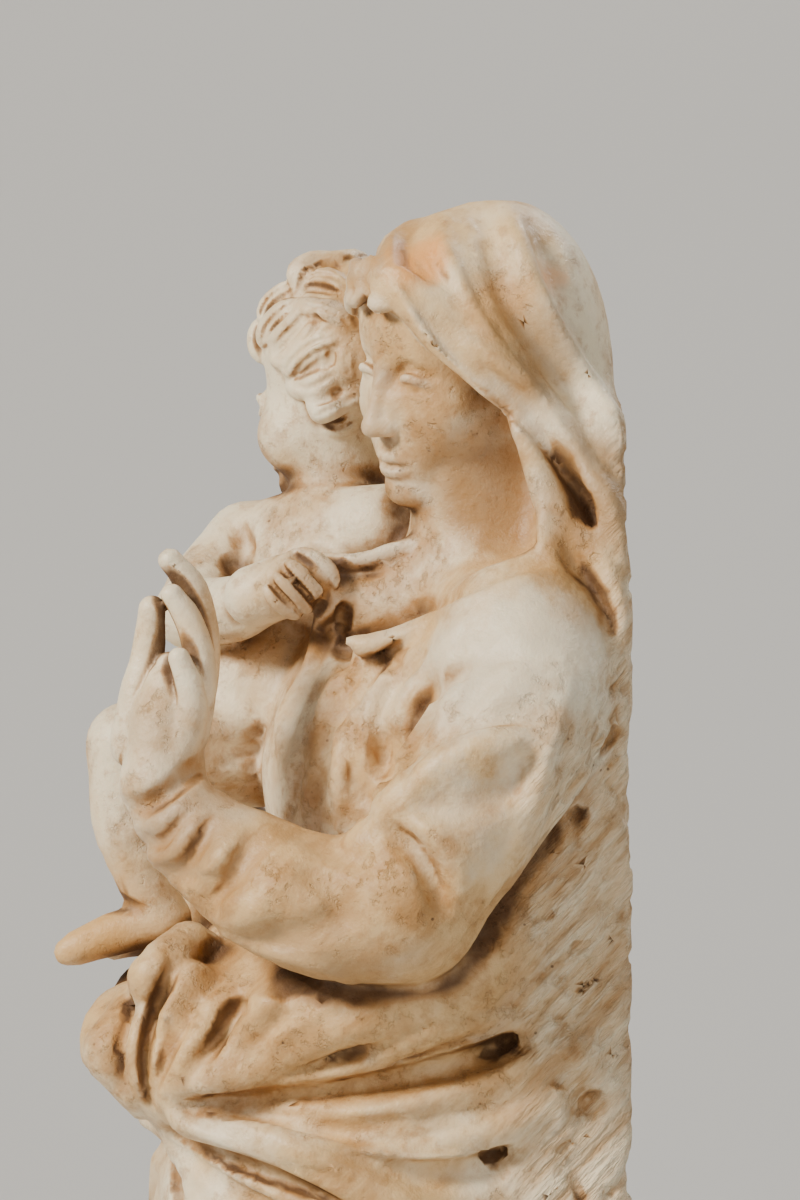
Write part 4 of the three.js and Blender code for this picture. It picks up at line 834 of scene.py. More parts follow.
def shapeChildHead():
    add, cut, roll, _ = stepsFor(childHead)
    add([0, 3, 5], [33, 35, 33], 3)
    add([0, -10, -16], [28, 26, 25], 8)
    for side in (-1, 1):
        add([side * 15, -19, -21], [13, 13, 12], 6)
        cut([side * 12, -37, -7], [7, 5, 4.5], 4)
        add([side * 12, -28, -7], [6.4, 6, 5], 1)
        # the lids
        roll([[side * 5.6, -31.4, -8.2, 0.9], [side * 9, -33.8, -5, 1.3], [side * 14, -33.4, -4.8, 1.3],
              [side * 18.6, -29.8, -8, 0.9]], 1)
        roll([[side * 6, -31.4, -9, 0.8], [side * 10, -33, -11.4, 1.1], [side * 15, -32.4, -11.2, 1.1],
              [side * 18.4, -29.6, -8.8, 0.8]], 1)
        add([side * 32, 3, -11], [4, 6, 8], 2)
    add([0, -36, -17.5], [4.6, 5.4, 4.2], 4)
    add([0, -34, -26], [6.5, 4, 2.2], 2)
    add([0, -32.5, -30], [5.5, 4, 2.4], 2)
    add([0, -27, -37], [7.5, 7, 6], 5)
    add([0, 7, 9], [35, 35, 34], 3)
    # wavy curls in rings round the far side of the skull
    rings = ((54, 5, 5.4, 340), (28, 9, 5.4, 340), (4, 8, 5, 250), (-16, 5, 4.4, 190))
    for ring, (height, count, size, spread) in enumerate(rings):
        for i in range(count):
            turn = math.radians(90 - spread / 2 + spread * (i + 0.5) / count)
            if math.cos(turn) > 0.25:
                continue
            curl = []
            for step in range(5):
                u = step / 4 - 0.5
                sway = turn + 0.34 * u + 0.16 * math.sin(2.6 * u * math.pi + i + ring)
                fall = math.radians(height - 30 * u)
                out = 36.5 * math.cos(fall)
                thick = size * (1 - 1.4 * u * u)
                lift = 8 + 35 * math.sin(fall)
                curl.append([out * math.cos(sway), 6 + out * math.sin(sway), lift, thick])
            roll(curl, 2)
    add([7, 2, 13], [28.5, 33, 29], 4)
    # the locks that her side shows
    for drawn, thick, grooves in (
        ([[-40.7, 706], [-42.8, 710.3], [-42.8, 715.3], [-40, 720.3]], 3.4, ()),
        ([[-39.6, 718.9], [-37.8, 724.6], [-32.8, 728.9], [-27.8, 731]], 4.6, (-0.45, 0.1, 0.55)),
        ([[-40, 711.7], [-38.5, 716.7], [-34.2, 721.7], [-28.5, 725.3]], 4.4, (-0.4, 0.3)),
        ([[-37.8, 709.6], [-34.2, 713.9], [-29.2, 718.9], [-25, 723.9]], 3.8, (0,)),
        ([[-37.1, 706], [-32.8, 705.3], [-27.1, 710.3], [-21.4, 716.7], [-16.4, 719.6]], 3.6, (0.2,)),
        ([[-31.4, 701], [-27.8, 706], [-21.4, 710.3], [-14.2, 712.4]], 4.6, (-0.3, 0.35)),
        ([[-30.3, 696.7], [-25.7, 695.7], [-20, 697.8], [-13.5, 702.4]], 4.6, (0,)),
        ([[-21.4, 686], [-17.1, 688.2], [-11.7, 691], [-6.4, 693.2]], 4, (0,)),
        ([[-18.5, 682.4], [-13.5, 681.7], [-8.5, 684.6]], 3.6, (0,)),
        ([[-10, 699.6], [-11.4, 704.6], [-10.7, 708.9]], 3.6, (0,)),
        ([[-21.4, 721.7], [-17.1, 723.2], [-12.8, 721], [-10, 716.7]], 4, (0,)),
        ([[-27.8, 725.3], [-22.8, 724.2], [-17.1, 722.8], [-12.8, 720.3]], 3.6, (0,)),
        ([[-27.8, 728.9], [-25.7, 733.2], [-21.4, 734.9], [-15.7, 733.9], [-12.1, 730.3]], 4, (0.3,)),
        ([[-28.9, 733.2], [-27.8, 737.4], [-23.5, 739.9], [-17.8, 740.3], [-12.1, 738.9]],
         4.4, (-0.3, 0.35)),
        ([[-22.1, 738.9], [-17.1, 740.3], [-11.4, 741], [-5.7, 742.4]], 4, (0.1,)),
    ):
        clay.lock(drawn, childHead["lockFullness"] * thick, grooves, 1.4)
    clay.carveAll([
        # drilled hollows between the locks
        ([[-26.4, 731], [-21.4, 731], [-15, 729.6]], 2.6, -1.8),
        ([[-23.5, 722.4], [-21.7, 719.6], [-23.2, 716]], 2.6, -1.8),
        ([[-37.8, 712.4], [-39.6, 709.6]], 2.4, -1.6),
        ([[-17.8, 710.3], [-16.4, 706.7], [-17.5, 703.2]], 2.6, -1.6),
        ([[-14.2, 694.6], [-18.5, 691.7], [-23.5, 691]], 3, -1.6),
    ])


def shapeCrispFolds():
    # the sharpest edges and grooves of the cloth, over all the softer ones
    clay.carveAll([
        ([[-67.1, 443.9], [-45.7, 443.2], [-17.1, 447.1], [11.5, 453.5], [32.9, 459.2], [45.8, 463.5]],
         5.5, -7, (0.2, -1)),
        ([[-58.2, 438.2], [-31.4, 432.4], [-2.8, 426], [22.2, 423.5], [42.2, 423.5]], 5.5, -7, (0, 1)),
        ([[-73.5, 439.6], [-52.8, 427.4], [-27.8, 417.4], [0.8, 407.4]], 5, -5, (0.3, 1)),
        ([[-63.5, 441.4], [-27.8, 438.9], [7.9, 438.2], [36.5, 442.1], [65, 451]], 7, 4, (0, 1)),
        ([[-61.7, 448.2], [-31.4, 451.7], [0.8, 460.7], [32.9, 470.3], [50.8, 473.9]], 7, 4.5, (0, -1)),
        ([[-32.8, 475.3], [-40.7, 463.2], [-55, 453.9]], 5, -6, (1, 0.5)),
        ([[-52.8, 471], [-61.4, 460.3], [-68.5, 449.6]], 5, -5, (1, 0.5)),
        ([[-70, 478.9], [-75.7, 463.9], [-77.8, 447.4]], 5, -5, (1, 0)),
        ([[-81.4, 478.2], [-86.4, 461], [-84.2, 444.6]], 7, 4, (-1, 0)),
        ([[-89.2, 474.6], [-93.5, 460.3], [-92.1, 447.4]], 5, -4, (1, 0)),
        ([[-51.4, 478.2], [-41.4, 478.2], [-33.5, 476.7]], 5, 3.5, (0, -1)),
        ([[5, 573.2], [4.7, 566.7], [3.3, 559.6]], 4.5, -8, (-1, 0)),
        ([[-9.2, 601.7], [-14.2, 588.9], [-21.4, 578.2]], 4, -4, (-1, 0.4)),
        ([[-18.5, 577.4], [-23.5, 568.2], [-27.8, 554.6]], 4, -4, (-1, 0)),
        ([[18.6, 603.9], [7.2, 588.9], [2.2, 574.6]], 4.5, -4, (-1, 0.4)),
        ([[6.5, 538.9], [14.3, 531.7], [20, 521], [22.2, 511.7]], 7, -6, (-0.6, -1)),
        ([[9.3, 549.6], [15, 558.2], [27.5, 566.7], [43.6, 570.3], [60, 570.3]], 6, 4, (0.2, -1)),
        ([[6.5, 551], [12.9, 561.7], [26.5, 571.7], [45, 576]], 5, -4, (0, 1)),
        ([[11.5, 578.2], [25.8, 589.6], [43.6, 598.2], [57.9, 599.6]], 7, -3, (0.3, 1)),
        ([[-27.8, 524.6], [-17.1, 513.9], [-10, 499.6]], 8, -3, (1, 0)),
        ([[-59.2, 503.2], [-42.1, 496.7], [-20.7, 490.3], [-10, 483.9]], 5, 3, (0, -1)),
    ])


roughBack = {"from": 40, "to": 62, "hollows": 2.4, "rows": 1.3, "edge": 2.0}


def roughShare(y, z):
    # how rough-hewn the block is: its whole side below her shoulder, but only its edge beside the veil
    start = roughBack["from"] + 34 * smoothstep(z, 560, 625)
    return smoothstep(y - start, 0, roughBack["to"] - roughBack["from"]) * smoothstep(-z, -725, -640)


def shapeFlatBack():
    # the sides of the block are left rough behind the figure, with slanting rows of the chisel
    def hew(v, x, y, z):
        near = np.nonzero(np.abs(v) < 8)
        out = v.copy()
        if near[0].size:
            x, y, z = (np.broadcast_to(a, v.shape)[near] for a in (x, y, z))
            rough = roughShare(y, z)
            hollows = smoothstep(noiseAt(x, y, z, 11, 1), 0.5, 0.8) * roughBack["hollows"]
            hollows = hollows + smoothstep(noiseAt(x, y, z, 5, 5), 0.5, 0.85) * 0.5 * roughBack["hollows"]
            rows = 0.5 + 0.5 * np.sin((z * 0.7 - y * 0.7) * 1.15 + 6 * noiseAt(x, y, z, 24, 2))
            rows = rows * smoothstep(noiseAt(x, y, z, 19, 6), 0.35, 0.65) * roughBack["rows"]
            out[near] += (rough * (hollows + rows)).astype(out.dtype)
        return out

    clay.change([-130, roughBack["from"], 0], [130, 130, 730], hew)

    def flat(v, x, y, z):
        hit = np.nonzero((v < 8) & (np.broadcast_to(y, v.shape) > figure["backPlane"] - 12))
        depth = np.zeros(v.shape, v.dtype)
        if hit[0].size:
            px, pz = (np.broadcast_to(a, v.shape)[hit] for a in (x, z))
            wave = smoothstep(noiseAt(px, 0 * px, pz, 17, 3), 0.4, 0.8) + 0.6 * noiseAt(px, 0 * px, pz, 7, 4)
            rows = smoothstep(noiseAt(0.3 * px, 0 * px, pz, 4, 7), 0.55, 0.9) * 0.6
            depth[hit] = (0.6 * wave + rows) * roughBack["edge"]
        return -smoothMin(-v, figure["backPlane"] - depth - y + 0 * v, 2)

    clay.change([-130, 40, -10], [130, 130, 800], flat)


def shapeBase():
    w, d, r = base["width"] / 2, base["depth"] / 2, base["corner"]
    middle = figure["backPlane"] - d

    def distance(x, y, z):
        dx, dy = np.abs(x) - (w - r), middle - y - (d - r)
        front = np.hypot(np.maximum(dx, 0), np.maximum(dy, 0)) + np.minimum(np.maximum(dx, dy), 0) - r
        side = np.maximum(np.maximum(front, np.abs(x) - w), y - figure["backPlane"])
        return -smoothMin(-side + 0 * z, base["height"] / 2 - np.abs(z + base["height"] / 2) + 0 * side,
                          base["rounding"])

    clay.add(([-w, middle - d, -base["height"]], [w, middle + d, 0], distance), 1)


def sculpt():
    for shape in (
        shapeDress, shapeTorso, shapeRoughBack, shapeMantle, shapeHoldingArm, shapeMantleBands,
        shapeGatheredFolds, shapeMantleFolds, shapeVeil, shapeVeilFolds, shapeNeck, shapeHead,
        shapeHairHoles, shapeRaisedArm, shapeSleeveFolds, shapeBreastFolds, shapeShoes, shapeChild,
        shapeChildSkin, shapeGrip, shapeChildHead, shapeRaisedHand, shapeCrispFolds, shapeFlatBack,
        shapeBase,
    ):
        shape()
    print("sculpted in", len(clay.steps), "steps")


# From the field to a mesh.

def surfaceOf(values):
    # a vertex in each cell that the surface passes through, and a quad across each grid line it crosses
    inside = values < 0
    nx, ny, nz = values.shape
    count = np.zeros((nx - 1, ny - 1, nz - 1), np.uint8)
    offsets = [(i, j, k) for i in (0, 1) for j in (0, 1) for k in (0, 1)]
    for i, j, k in offsets:
        count += inside[i:nx - 1 + i, j:ny - 1 + j, k:nz - 1 + k]
    active = (count > 0) & (count < 8)
    index = np.full(active.shape, -1, np.int32)
    index[active] = np.arange(active.sum())
    cells = np.argwhere(active)
    total, hits = np.zeros((len(cells), 3)), np.zeros(len(cells))
    for axis in range(3):
        for corner in offsets:
            if corner[axis]:
                continue
            p = cells + corner
            q = p.copy()
            q[:, axis] += 1
            a, b = values[tuple(p.T)], values[tuple(q.T)]
            crossing = (a < 0) != (b < 0)
            place = np.tile(np.array(corner, float), (len(cells), 1))
            place[crossing, axis] += (a / np.where(crossing, a - b, 1))[crossing]
            total[crossing] += place[crossing]
            hits[crossing] += 1
    points = cells + total / hits[:, None]
    quads = []
    for axis in range(3):
        u, w = [i for i in range(3) if i != axis]
        along = [slice(None)] * 3
        ahead = [slice(None)] * 3
        along[axis], ahead[axis] = slice(0, -1), slice(1, None)
        nodes = np.argwhere(inside[tuple(along)] != inside[tuple(ahead)])
        nodes = nodes[(nodes[:, u] > 0) & (nodes[:, w] > 0)]
        nodes = nodes[(nodes[:, u] < values.shape[u] - 1) & (nodes[:, w] < values.shape[w] - 1)]
        ring = []
        for du, dw in ((1, 1), (0, 1), (0, 0), (1, 0)):
            c = nodes.copy()
            c[:, u] -= du
            c[:, w] -= dw
            ring.append(index[tuple(c.T)])
        quad = np.column_stack(ring)
        outward = inside[tuple(nodes.T)] if axis != 1 else ~inside[tuple(nodes.T)]
        quad[~outward] = quad[~outward][:, ::-1]
        quads.append(quad)
    return points, np.vstack(quads)


def settle(points, rounds=2, reach=0.5):
    # moves loose points on to the exact surface
    for _ in range(rounds):
        here = clay.exact(points)
        slope = np.zeros_like(points)
        for axis in range(3):
            moved = points.copy()
            moved[:, axis] += reach
            slope[:, axis] = (clay.exact(moved) - here) / reach
        steep = np.maximum((slope**2).sum(axis=1), 0.25)
        shift = slope * (here / steep)[:, None]
        length = np.linalg.norm(shift, axis=1, keepdims=True)
        points = points - shift * np.minimum(1, 1.2 / np.maximum(length, 1e-6))
    return points


# Places that keep finer triangles: centre, reach, and how often their faces are split.
fineParts = [
    {"at": inHead(0, -18, -12), "reach": 44, "splits": 1},
    {"at": inChildHead(0, -4, 0), "reach": 48, "splits": 1},
    {"at": [60, -76, 596], "reach": 44, "splits": 1},
    {"at": [18, -26, 625], "reach": 27, "splits": 1},
]


def nearFineParts(places, margin=0):
    near = np.zeros(len(places), bool)
    for part in fineParts:
        near |= np.linalg.norm(places - np.array(part["at"]), axis=1) < part["reach"] + margin
    return near


def meshOfFigure():
    points, quads = surfaceOf(clay.values)
    points = settle(clay.low + clay.cell * points)
    print("surface of", len(points), "points")
    bm = bmesh.new()
    vertices = [bm.verts.new(p) for p in points]
    for quad in quads.tolist():
        try:
            bm.faces.new([vertices[i] for i in quad])
        except ValueError:
            pass  # the same face is there already
    bm.verts.index_update()
    for part in fineParts:
        at = Vector(part["at"])
        for _ in range(part["splits"]):
            near = {v for v in bm.verts if (v.co - at).length < part["reach"]}
            edges = [e for e in bm.edges if e.verts[0] in near and e.verts[1] in near]
            bmesh.ops.subdivide_edges(bm, edges=edges, cuts=1, use_grid_fill=True)
    bm.verts.ensure_lookup_table()
    finer = np.array([v.co for v in bm.verts])
    if len(finer) > len(points):
        near = nearFineParts(finer, 4)
        finer[near] = settle(finer[near])
        for v, p in zip(bm.verts, finer):
            v.co = p
    bmesh.ops.triangulate(bm, faces=bm.faces)
    mesh = bpy.data.meshes.new("carvedMarble")
    bm.to_mesh(mesh)
    bm.free()
    print("mesh of", len(mesh.polygons), "triangles")
    return mesh


def onVertices(mesh, what):
    values = np.zeros(3 * len(mesh.vertices))
    mesh.vertices.foreach_get(what, values)
    return values.reshape(-1, 3)


def makeStatue():
    sculpt()
    mesh = meshOfFigure()
    statue = bpy.data.objects.new("marble_group", mesh)
    bpy.context.scene.collection.objects.link(statue)
    fine = nearFineParts(onVertices(mesh, "co"))
    plain = statue.vertex_groups.new(name="plain")
    plain.add(np.flatnonzero(~fine).tolist(), 1.0, "REPLACE")
    plain.add(np.flatnonzero(fine).tolist(), 0.25, "REPLACE")
    thin = statue.modifiers.new("thin", "DECIMATE")
    thin.ratio = min(1, figure["mostTriangles"] / len(mesh.polygons))
    thin.vertex_group = "plain"
    applyModifiers(statue)
    mesh = statue.data
    measureSurface(mesh)
    mesh.transform(Matrix.Translation(figureOrigin) @ Matrix.Scale(unit, 4))
    for v in mesh.vertices:
        v.co = [min(max(c, low), high) for c, low, high in zip(v.co, nodeLow, nodeHigh)]
    return statue


# the hollow measure is weakened on her smooth face, on the child's head and on his chest and belly, so that
# less painted shade and patina fall there
fainterHollowParts = [
    {"at": inHead(0, -30, -8), "near": 24, "far": 44, "least": 0.4},
    {"at": childHead["at"], "near": 34, "far": 48, "least": 0.7},
    {"at": [-44, -46, 582], "near": 30, "far": 44, "least": 0.5},
]


def measureSurface(mesh):
    # keeps on each vertex how hollow, how proud and how rough-hewn the marble is there, from 0 to 1; the
    # hollow measure is what the painted shade and the patina in the hollows are drawn from
    places, normals = onVertices(mesh, "co"), onVertices(mesh, "normal")
    hollow, proud = np.zeros(len(places)), np.zeros(len(places))
    for reach, share in ((3, 0.25), (7, 0.4), (14, 0.35)):
        ahead = np.clip(clay.sample(places + reach * normals), 0, reach) / reach
        hollow += share * (1 - ahead)
    for reach, share in ((3, 0.5), (7, 0.5)):
        behind = np.clip(-clay.sample(places - reach * normals), 0, reach) / reach
        proud += share * (1 - behind)
    _, y, z = places.T
    rough = np.maximum(roughShare(y + 4, z), smoothstep(y, 80, 83))
    for part in fainterHollowParts:
        away = np.linalg.norm(places - np.array(part["at"]), axis=1)
        hollow *= part["least"] + (1 - part["least"]) * smoothstep(away, part["near"], part["far"])
    for name, values in (("hollow", smoothstep(hollow, 0.08, 0.62)), ("proud", smoothstep(proud, 0.12, 0.6)),
                         ("rough", rough)):
        mesh.attributes.new(name, "FLOAT", "POINT").data.foreach_set("value", values.astype(np.float32))


def applyModifiers(piece):
    evaluated = piece.evaluated_get(bpy.context.evaluated_depsgraph_get())
    mesh = bpy.data.meshes.new_from_object(evaluated)
    piece.modifiers.clear()
    piece.data = mesh


statue = makeStatue()
for polygon in statue.data.polygons:
    polygon.use_smooth = True
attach(statue, "root")
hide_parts("madonna_and_child")


marble = {
    "cream": (0.72, 0.48, 0.22),
    "pale": (0.88, 0.77, 0.55),
    "ochre": (0.40, 0.19, 0.05),
    # near black, for the marble's dark specks and for the painted shade in its deepest hollows
    "speckAndShade": (0.085, 0.034, 0.009),
    "polished": (0.90, 0.82, 0.63),
    "hewn": (0.74, 0.57, 0.36),
    "cloudScale": 8.0,  # per metre
    "mottleScale": 30.0,
    "fineScale": 130.0,
    "grainScale": 420.0,
    "streakScale": 26.0,
    "rakeScale": 150.0,
    "speckScale": 260.0,
    "pitScale": 210.0,
    "scatter": 0.12,
    "scatterColours": (1.0, 0.65, 0.4),
    "scatterDepth": 0.004,  # metres
    "refraction": 1.5,
    "relief": 0.75,
    "reliefDepth": 0.0010,  # metres
}
# stains, a repair, painted shade and painted highlights: place on the figure, reach, colour and strength
stainsShadeAndHighlights = [
    # orange and brown stains on the veil
    {"at": (40, 12, 740), "reach": 14, "colour": (0.80, 0.33, 0.07), "strength": 0.75},
    {"at": (46, 40, 726), "reach": 17, "colour": (0.62, 0.32, 0.10), "strength": 0.7},
    # painted highlights: lighter patches where her shoulder, upper arm and breast catch the key light
    {"at": (92, 38, 596), "reach": 44, "colour": (0.86, 0.79, 0.60), "strength": 0.7},
    {"at": (100, 22, 550), "reach": 30, "colour": (0.86, 0.79, 0.60), "strength": 0.55},
    {"at": (60, -10, 596), "reach": 26, "colour": (0.86, 0.79, 0.60), "strength": 0.5},
    # stains on the back of the veil
    {"at": (42, 62, 737), "reach": 10, "colour": (0.80, 0.34, 0.10), "strength": 0.8},
    {"at": (44, 66, 728), "reach": 7, "colour": (0.80, 0.42, 0.20), "strength": 0.6},
    # painted shade: under the edge of the veil, in the pocket of its folds, under her chin and in the hollow
    # beside her neck
    {"at": (50, 50, 708), "reach": 24, "colour": (0.40, 0.22, 0.08), "strength": 0.6},
    {"at": (56, 70, 655), "reach": 30, "colour": (0.40, 0.22, 0.08), "strength": 0.75},
    {"at": (36, 10, 664), "reach": 8, "colour": (0.34, 0.32, 0.29), "strength": 0.7},
    {"at": (34, 36, 662), "reach": 30, "colour": (0.34, 0.17, 0.05), "strength": 0.8},
    # painted shade: under her forearm and wrist, in the palm of her raised hand, round the child's fist and
    # in the hollow under it at her neckline
    {"at": (92, -20, 510), "reach": 40, "colour": (0.42, 0.25, 0.11), "strength": 0.65},
    {"at": (74, -66, 545), "reach": 30, "colour": (0.38, 0.22, 0.10), "strength": 0.7},
    {"at": (66, -78, 580), "reach": 20, "colour": (0.44, 0.28, 0.14), "strength": 0.5},
    {"at": (22, -28, 626), "reach": 17, "colour": (0.38, 0.21, 0.08), "strength": 0.6},
    {"at": (-10, -20, 600), "reach": 30, "colour": (0.36, 0.18, 0.06), "strength": 0.6},
    # an orange stain on the child's shin, then the repair
    {"at": (-20, -95, 505), "reach": 34, "colour": (0.66, 0.36, 0.10), "strength": 0.6},
    {"at": (72, 31.6, 506.2), "reach": 9, "colour": (0.93, 0.91, 0.86), "strength": 1.0},
    {"at": (72, 36.4, 508.9), "reach": 9, "colour": (0.93, 0.91, 0.86), "strength": 1.0},
    {"at": (72, 41.2, 512.3), "reach": 9, "colour": (0.93, 0.91, 0.86), "strength": 1.0},
]


def makeMarble():
    material = bpy.data.materials.new("agedMarbleWithPaintedLight")
    material.use_nodes = True
    nodes, links = material.node_tree.nodes, material.node_tree.links
    shader = nodes["Principled BSDF"]
    place = nodes.new("ShaderNodeTexCoord").outputs["Object"]

    def join(value, socket):
        if isinstance(value, bpy.types.NodeSocket):
            links.new(value, socket)
        else:
            socket.default_value = value

    def noise(scale, detail=4.0, roughness=0.55, stretch=None):
        node = nodes.new("ShaderNodeTexNoise")
        node.inputs["Scale"].default_value = scale
        node.inputs["Detail"].default_value = detail
        node.inputs["Roughness"].default_value = roughness
        if stretch:
            mapping = nodes.new("ShaderNodeMapping")
            mapping.vector_type = "TEXTURE"
            mapping.inputs["Rotation"].default_value = stretch[0]
            mapping.inputs["Scale"].default_value = stretch[1]
            links.new(place, mapping.inputs["Vector"])
            links.new(mapping.outputs["Vector"], node.inputs["Vector"])
        else:
            links.new(place, node.inputs["Vector"])
        return node.outputs["Fac"]

    def between(value, low, high, start=0.0, end=1.0):
        node = nodes.new("ShaderNodeMapRange")
        node.interpolation_type = "SMOOTHSTEP"
        for name, v in (("From Min", low), ("From Max", high), ("To Min", start), ("To Max", end)):
            node.inputs[name].default_value = v
        links.new(value, node.inputs["Value"])
        return node.outputs["Result"]

    def reckon(operation, a, b):
        node = nodes.new("ShaderNodeMath")
        node.operation = operation
        join(a, node.inputs[0])
        join(b, node.inputs[1])
        return node.outputs["Value"]

    def blend(amount, under, over, mode="MIX"):
        node = nodes.new("ShaderNodeMix")
        node.data_type = "RGBA"
        node.blend_type = mode
        join(amount, node.inputs["Factor"])
        for colour, socket in ((under, node.inputs["A"]), (over, node.inputs["B"])):
            join(colour if isinstance(colour, bpy.types.NodeSocket) else (*colour, 1), socket)
        return node.outputs["Result"]

    def kept(name):
        node = nodes.new("ShaderNodeAttribute")
        node.attribute_name = name
        return node.outputs["Fac"]

    hollow, proud, rough = kept("hollow"), kept("proud"), kept("rough")
    cloud = noise(marble["cloudScale"], 5, 0.6)
    mottle = noise(marble["mottleScale"], 6, 0.65)
    grain = noise(marble["grainScale"], 3, 0.6)
    fine = noise(marble["fineScale"], 6, 0.7)
    streaks = noise(marble["streakScale"], 5, 0.7, stretch=((0.8, 0, 0), (1, 3.0, 0.6)))

    colour = blend(between(cloud, 0.42, 0.58), marble["cream"], marble["pale"])
    colour = blend(between(mottle, 0.46, 0.66, 0, 0.62), colour, marble["ochre"])
    colour = blend(between(fine, 0.5, 0.68, 0, 0.45), colour, marble["ochre"])
    colour = blend(reckon("MULTIPLY", rough, 0.75), colour, marble["hewn"])
    rake = noise(marble["rakeScale"], 4, 0.6, stretch=((0.8, 0, 0), (1, 5.0, 0.7)))
    colour = blend(reckon("MULTIPLY", rough, between(rake, 0.50, 0.62, 0, 0.6)), colour, marble["pale"])
    colour = blend(reckon("MULTIPLY", rough, between(rake, 0.48, 0.38, 0, 0.5)), colour, marble["ochre"])
    wear = reckon("MULTIPLY", proud, between(mottle, 0.3, 0.62))
    colour = blend(reckon("MULTIPLY", wear, 0.7), colour, marble["polished"])
    film = reckon("MULTIPLY", between(streaks, 0.46, 0.62), between(cloud, 0.6, 0.42))
    colour = blend(reckon("MULTIPLY", film, 0.6), colour, marble["ochre"])
    for patch in stainsShadeAndHighlights:
        away = nodes.new("ShaderNodeVectorMath")
        away.operation = "DISTANCE"
        links.new(place, away.inputs[0])
        away.inputs[1].default_value = figureOrigin + unit * Vector(patch["at"])
        reach = patch["reach"] * unit
        ragged = reckon("ADD", away.outputs["Value"],
                        reckon("MULTIPLY", reckon("SUBTRACT", mottle, 0.5), reach * 1.8))
        share = between(ragged, reach, 0.35 * reach, 0, patch["strength"])
        colour = blend(share, colour, patch["colour"])
    # painted shade: the deeper a hollow, the nearer its colour is pushed to near black, standing in for the
    # light that reaches it less
    hollowShade = reckon("MULTIPLY", between(hollow, 0.25, 0.95), between(mottle, 0.25, 0.55, 0.55, 1.0))
    patina = reckon("MULTIPLY", between(hollow, 0.02, 0.42), between(fine, 0.35, 0.6, 0.6, 1.0))
    colour = blend(reckon("MULTIPLY", patina, 0.85), colour, marble["ochre"])
    colour = blend(reckon("MULTIPLY", hollowShade, 0.9), colour, marble["speckAndShade"])
    speck = nodes.new("ShaderNodeTexVoronoi")
    speck.inputs["Scale"].default_value = marble["speckScale"]
    links.new(place, speck.inputs["Vector"])
    specks = reckon("MULTIPLY", between(speck.outputs["Distance"], 0.2, 0.08), between(mottle, 0.56, 0.66))
    colour = blend(reckon("MULTIPLY", specks, 0.75), colour, marble["speckAndShade"])
    links.new(colour, shader.inputs["Base Color"])

    dull = reckon("ADD", between(mottle, 0.3, 0.7, 0.40, 0.56), reckon("MULTIPLY", rough, 0.28))
    dull = reckon("ADD", dull, reckon("MULTIPLY", hollow, 0.22))
    links.new(reckon("SUBTRACT", dull, reckon("MULTIPLY", wear, 0.10)), shader.inputs["Roughness"])
    shader.inputs["Subsurface Weight"].default_value = marble["scatter"]
    shader.inputs["Subsurface Radius"].default_value = marble["scatterColours"]
    shader.inputs["Subsurface Scale"].default_value = marble["scatterDepth"]
    shader.inputs["IOR"].default_value = marble["refraction"]

    pits = between(noise(marble["pitScale"], 5, 0.65), 0.52, 0.66)
    height = reckon("ADD", reckon("MULTIPLY", grain, 0.5), reckon("MULTIPLY", fine, 0.8))
    height = reckon("SUBTRACT", height, reckon("MULTIPLY", pits, between(mottle, 0.48, 0.62, 0.15, 0.9)))
    height = reckon("ADD", height, reckon("MULTIPLY", reckon("MULTIPLY", rake, rough), 11.0))
    bump = nodes.new("ShaderNodeBump")
    bump.inputs["Strength"].default_value = marble["relief"]
    bump.inputs["Distance"].default_value = marble["reliefDepth"]
    links.new(height, bump.inputs["Height"])
    links.new(bump.outputs["Normal"], shader.inputs["Normal"])
    return material


statue.data.materials.clear()
statue.data.materials.append(makeMarble())

camera = {
    "azimuth": 87,
    "elevation": 3,
    "distance": 1.8,
    "target": (0, 0.0139, 0.6589),
    "pixelsPerMm": 2.8,
    "pixelsHigh": 1200,
    "sensor": 36.0,
}


def makeCamera():
    data = bpy.data.cameras.new("camera")
    rig = bpy.data.objects.new("camera", data)
    bpy.context.scene.collection.objects.link(rig)
    az, el = math.radians(camera["azimuth"]), math.radians(camera["elevation"])
    target = Vector(camera["target"])
    away = Vector((math.sin(az) * math.cos(el), -math.cos(az) * math.cos(el), math.sin(el)))
    rig.location = target + camera["distance"] * away
    rig.rotation_euler = (-away).to_track_quat("-Z", "Y").to_euler()
    data.sensor_width = camera["sensor"]
    shownHeight = camera["pixelsHigh"] / camera["pixelsPerMm"] / 1000
    data.lens = camera["sensor"] * camera["distance"] / shownHeight
    data.clip_end = 20
    bpy.context.scene.camera = rig
    print("camera set")


makeCamera()

lights = {
    "aim": (0, 0, 0.6),
    "skyColour": (0.95, 0.96, 1.0, 1),
    "skyStrength": 0.17,
    "key": {"from": (0.9, -1.6, 1.8), "size": 0.5, "power": 72, "colour": (1.0, 0.93, 0.82)},
    "fill": {"from": (2.0, 0.7, 1.3), "size": 1.4, "power": 17, "colour": (1.0, 0.96, 0.90)},
    "rim": {"from": (-0.9, 0.9, 2.0), "size": 0.8, "power": 20, "colour": (1.0, 0.97, 0.93)},
}


def makeLights():
    world = bpy.data.worlds.new("studio")
    bpy.context.scene.world = world
    world.use_nodes = True
    background = world.node_tree.nodes["Background"]
    background.inputs["Color"].default_value = lights["skyColour"]
    background.inputs["Strength"].default_value = lights["skyStrength"]
    for name in ("key", "fill", "rim"):
        lamp = lights[name]
        data = bpy.data.lights.new(name, "AREA")
        data.energy, data.size, data.color = lamp["power"], lamp["size"], lamp["colour"]
        stand = bpy.data.objects.new(name, data)
        bpy.context.scene.collection.objects.link(stand)
        stand.location = lamp["from"]
        aim = Vector(lights["aim"]) - Vector(lamp["from"])
        stand.rotation_euler = aim.to_track_quat("-Z", "Y").to_euler()
    print("lights set")


makeLights()

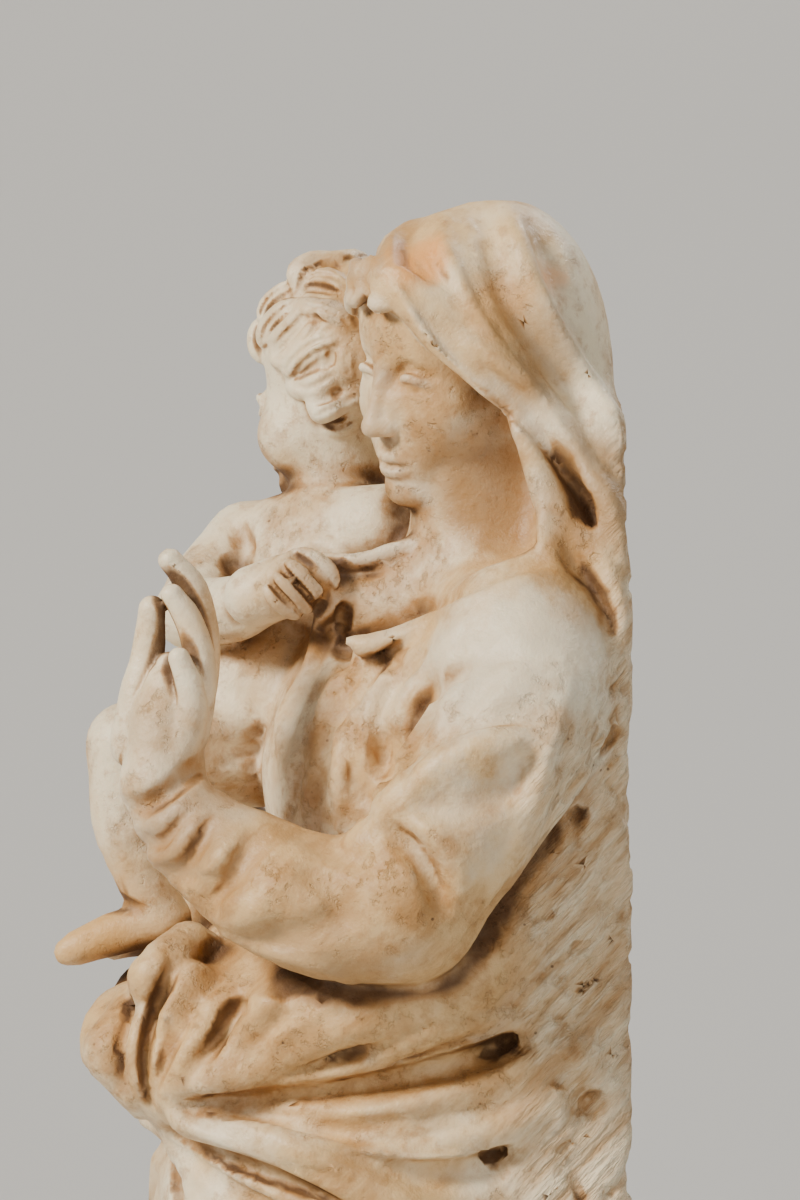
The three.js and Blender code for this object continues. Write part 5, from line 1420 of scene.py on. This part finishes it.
sweep = {
    "near": 3.0,
    "bendFrom": -0.9,
    "radius": 0.9,
    "bendSteps": 24,
    "top": 3.2,
    "halfWidth": 4.5,
    "colour": (0.62, 0.62, 0.61, 1),
    "roughness": 0.9,
}


def makeFloor():
    # a plain pale sheet: floor, bend and wall, across the camera's view
    radius, steps = sweep["radius"], sweep["bendSteps"]
    profile = [(sweep["near"], 0.0), (sweep["bendFrom"], 0.0)]
    for i in range(1, steps + 1):
        turn = math.radians(90 * i / steps)
        profile.append((sweep["bendFrom"] - radius * math.sin(turn), radius * (1 - math.cos(turn))))
    profile.append((profile[-1][0], sweep["top"]))
    turn = math.radians(camera["azimuth"])
    toward = Vector((math.sin(turn), -math.cos(turn), 0))
    across = Vector((math.cos(turn), math.sin(turn), 0))
    w = sweep["halfWidth"]
    points = [d * toward + side * across + Vector((0, 0, z)) for d, z in profile for side in (-w, w)]
    faces = [(2 * i, 2 * i + 1, 2 * i + 3, 2 * i + 2) for i in range(len(profile) - 1)]
    mesh = bpy.data.meshes.new("paleFloor")
    mesh.from_pydata(points, [], faces)
    for polygon in mesh.polygons:
        polygon.use_smooth = True
    floor = bpy.data.objects.new("paleFloor", mesh)
    bpy.context.scene.collection.objects.link(floor)
    material = bpy.data.materials.new("palePaper")
    material.use_nodes = True
    nodes, links = material.node_tree.nodes, material.node_tree.links
    shader = nodes["Principled BSDF"]
    shader.inputs["Base Color"].default_value = sweep["colour"]
    shader.inputs["Roughness"].default_value = sweep["roughness"]
    # the sheet lets the view through from its back, so that the group shows from every side
    through = nodes.new("ShaderNodeMixShader")
    links.new(nodes.new("ShaderNodeNewGeometry").outputs["Backfacing"], through.inputs["Fac"])
    links.new(shader.outputs["BSDF"], through.inputs[1])
    links.new(nodes.new("ShaderNodeBsdfTransparent").outputs["BSDF"], through.inputs[2])
    links.new(through.outputs["Shader"], nodes["Material Output"].inputs["Surface"])
    mesh.materials.append(material)
    floor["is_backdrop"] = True
    print("floor laid")


makeFloor()

plain = lambda box: [list(corner) for corner in box]
{"cad": plain(cadBox), "visual": plain(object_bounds())}
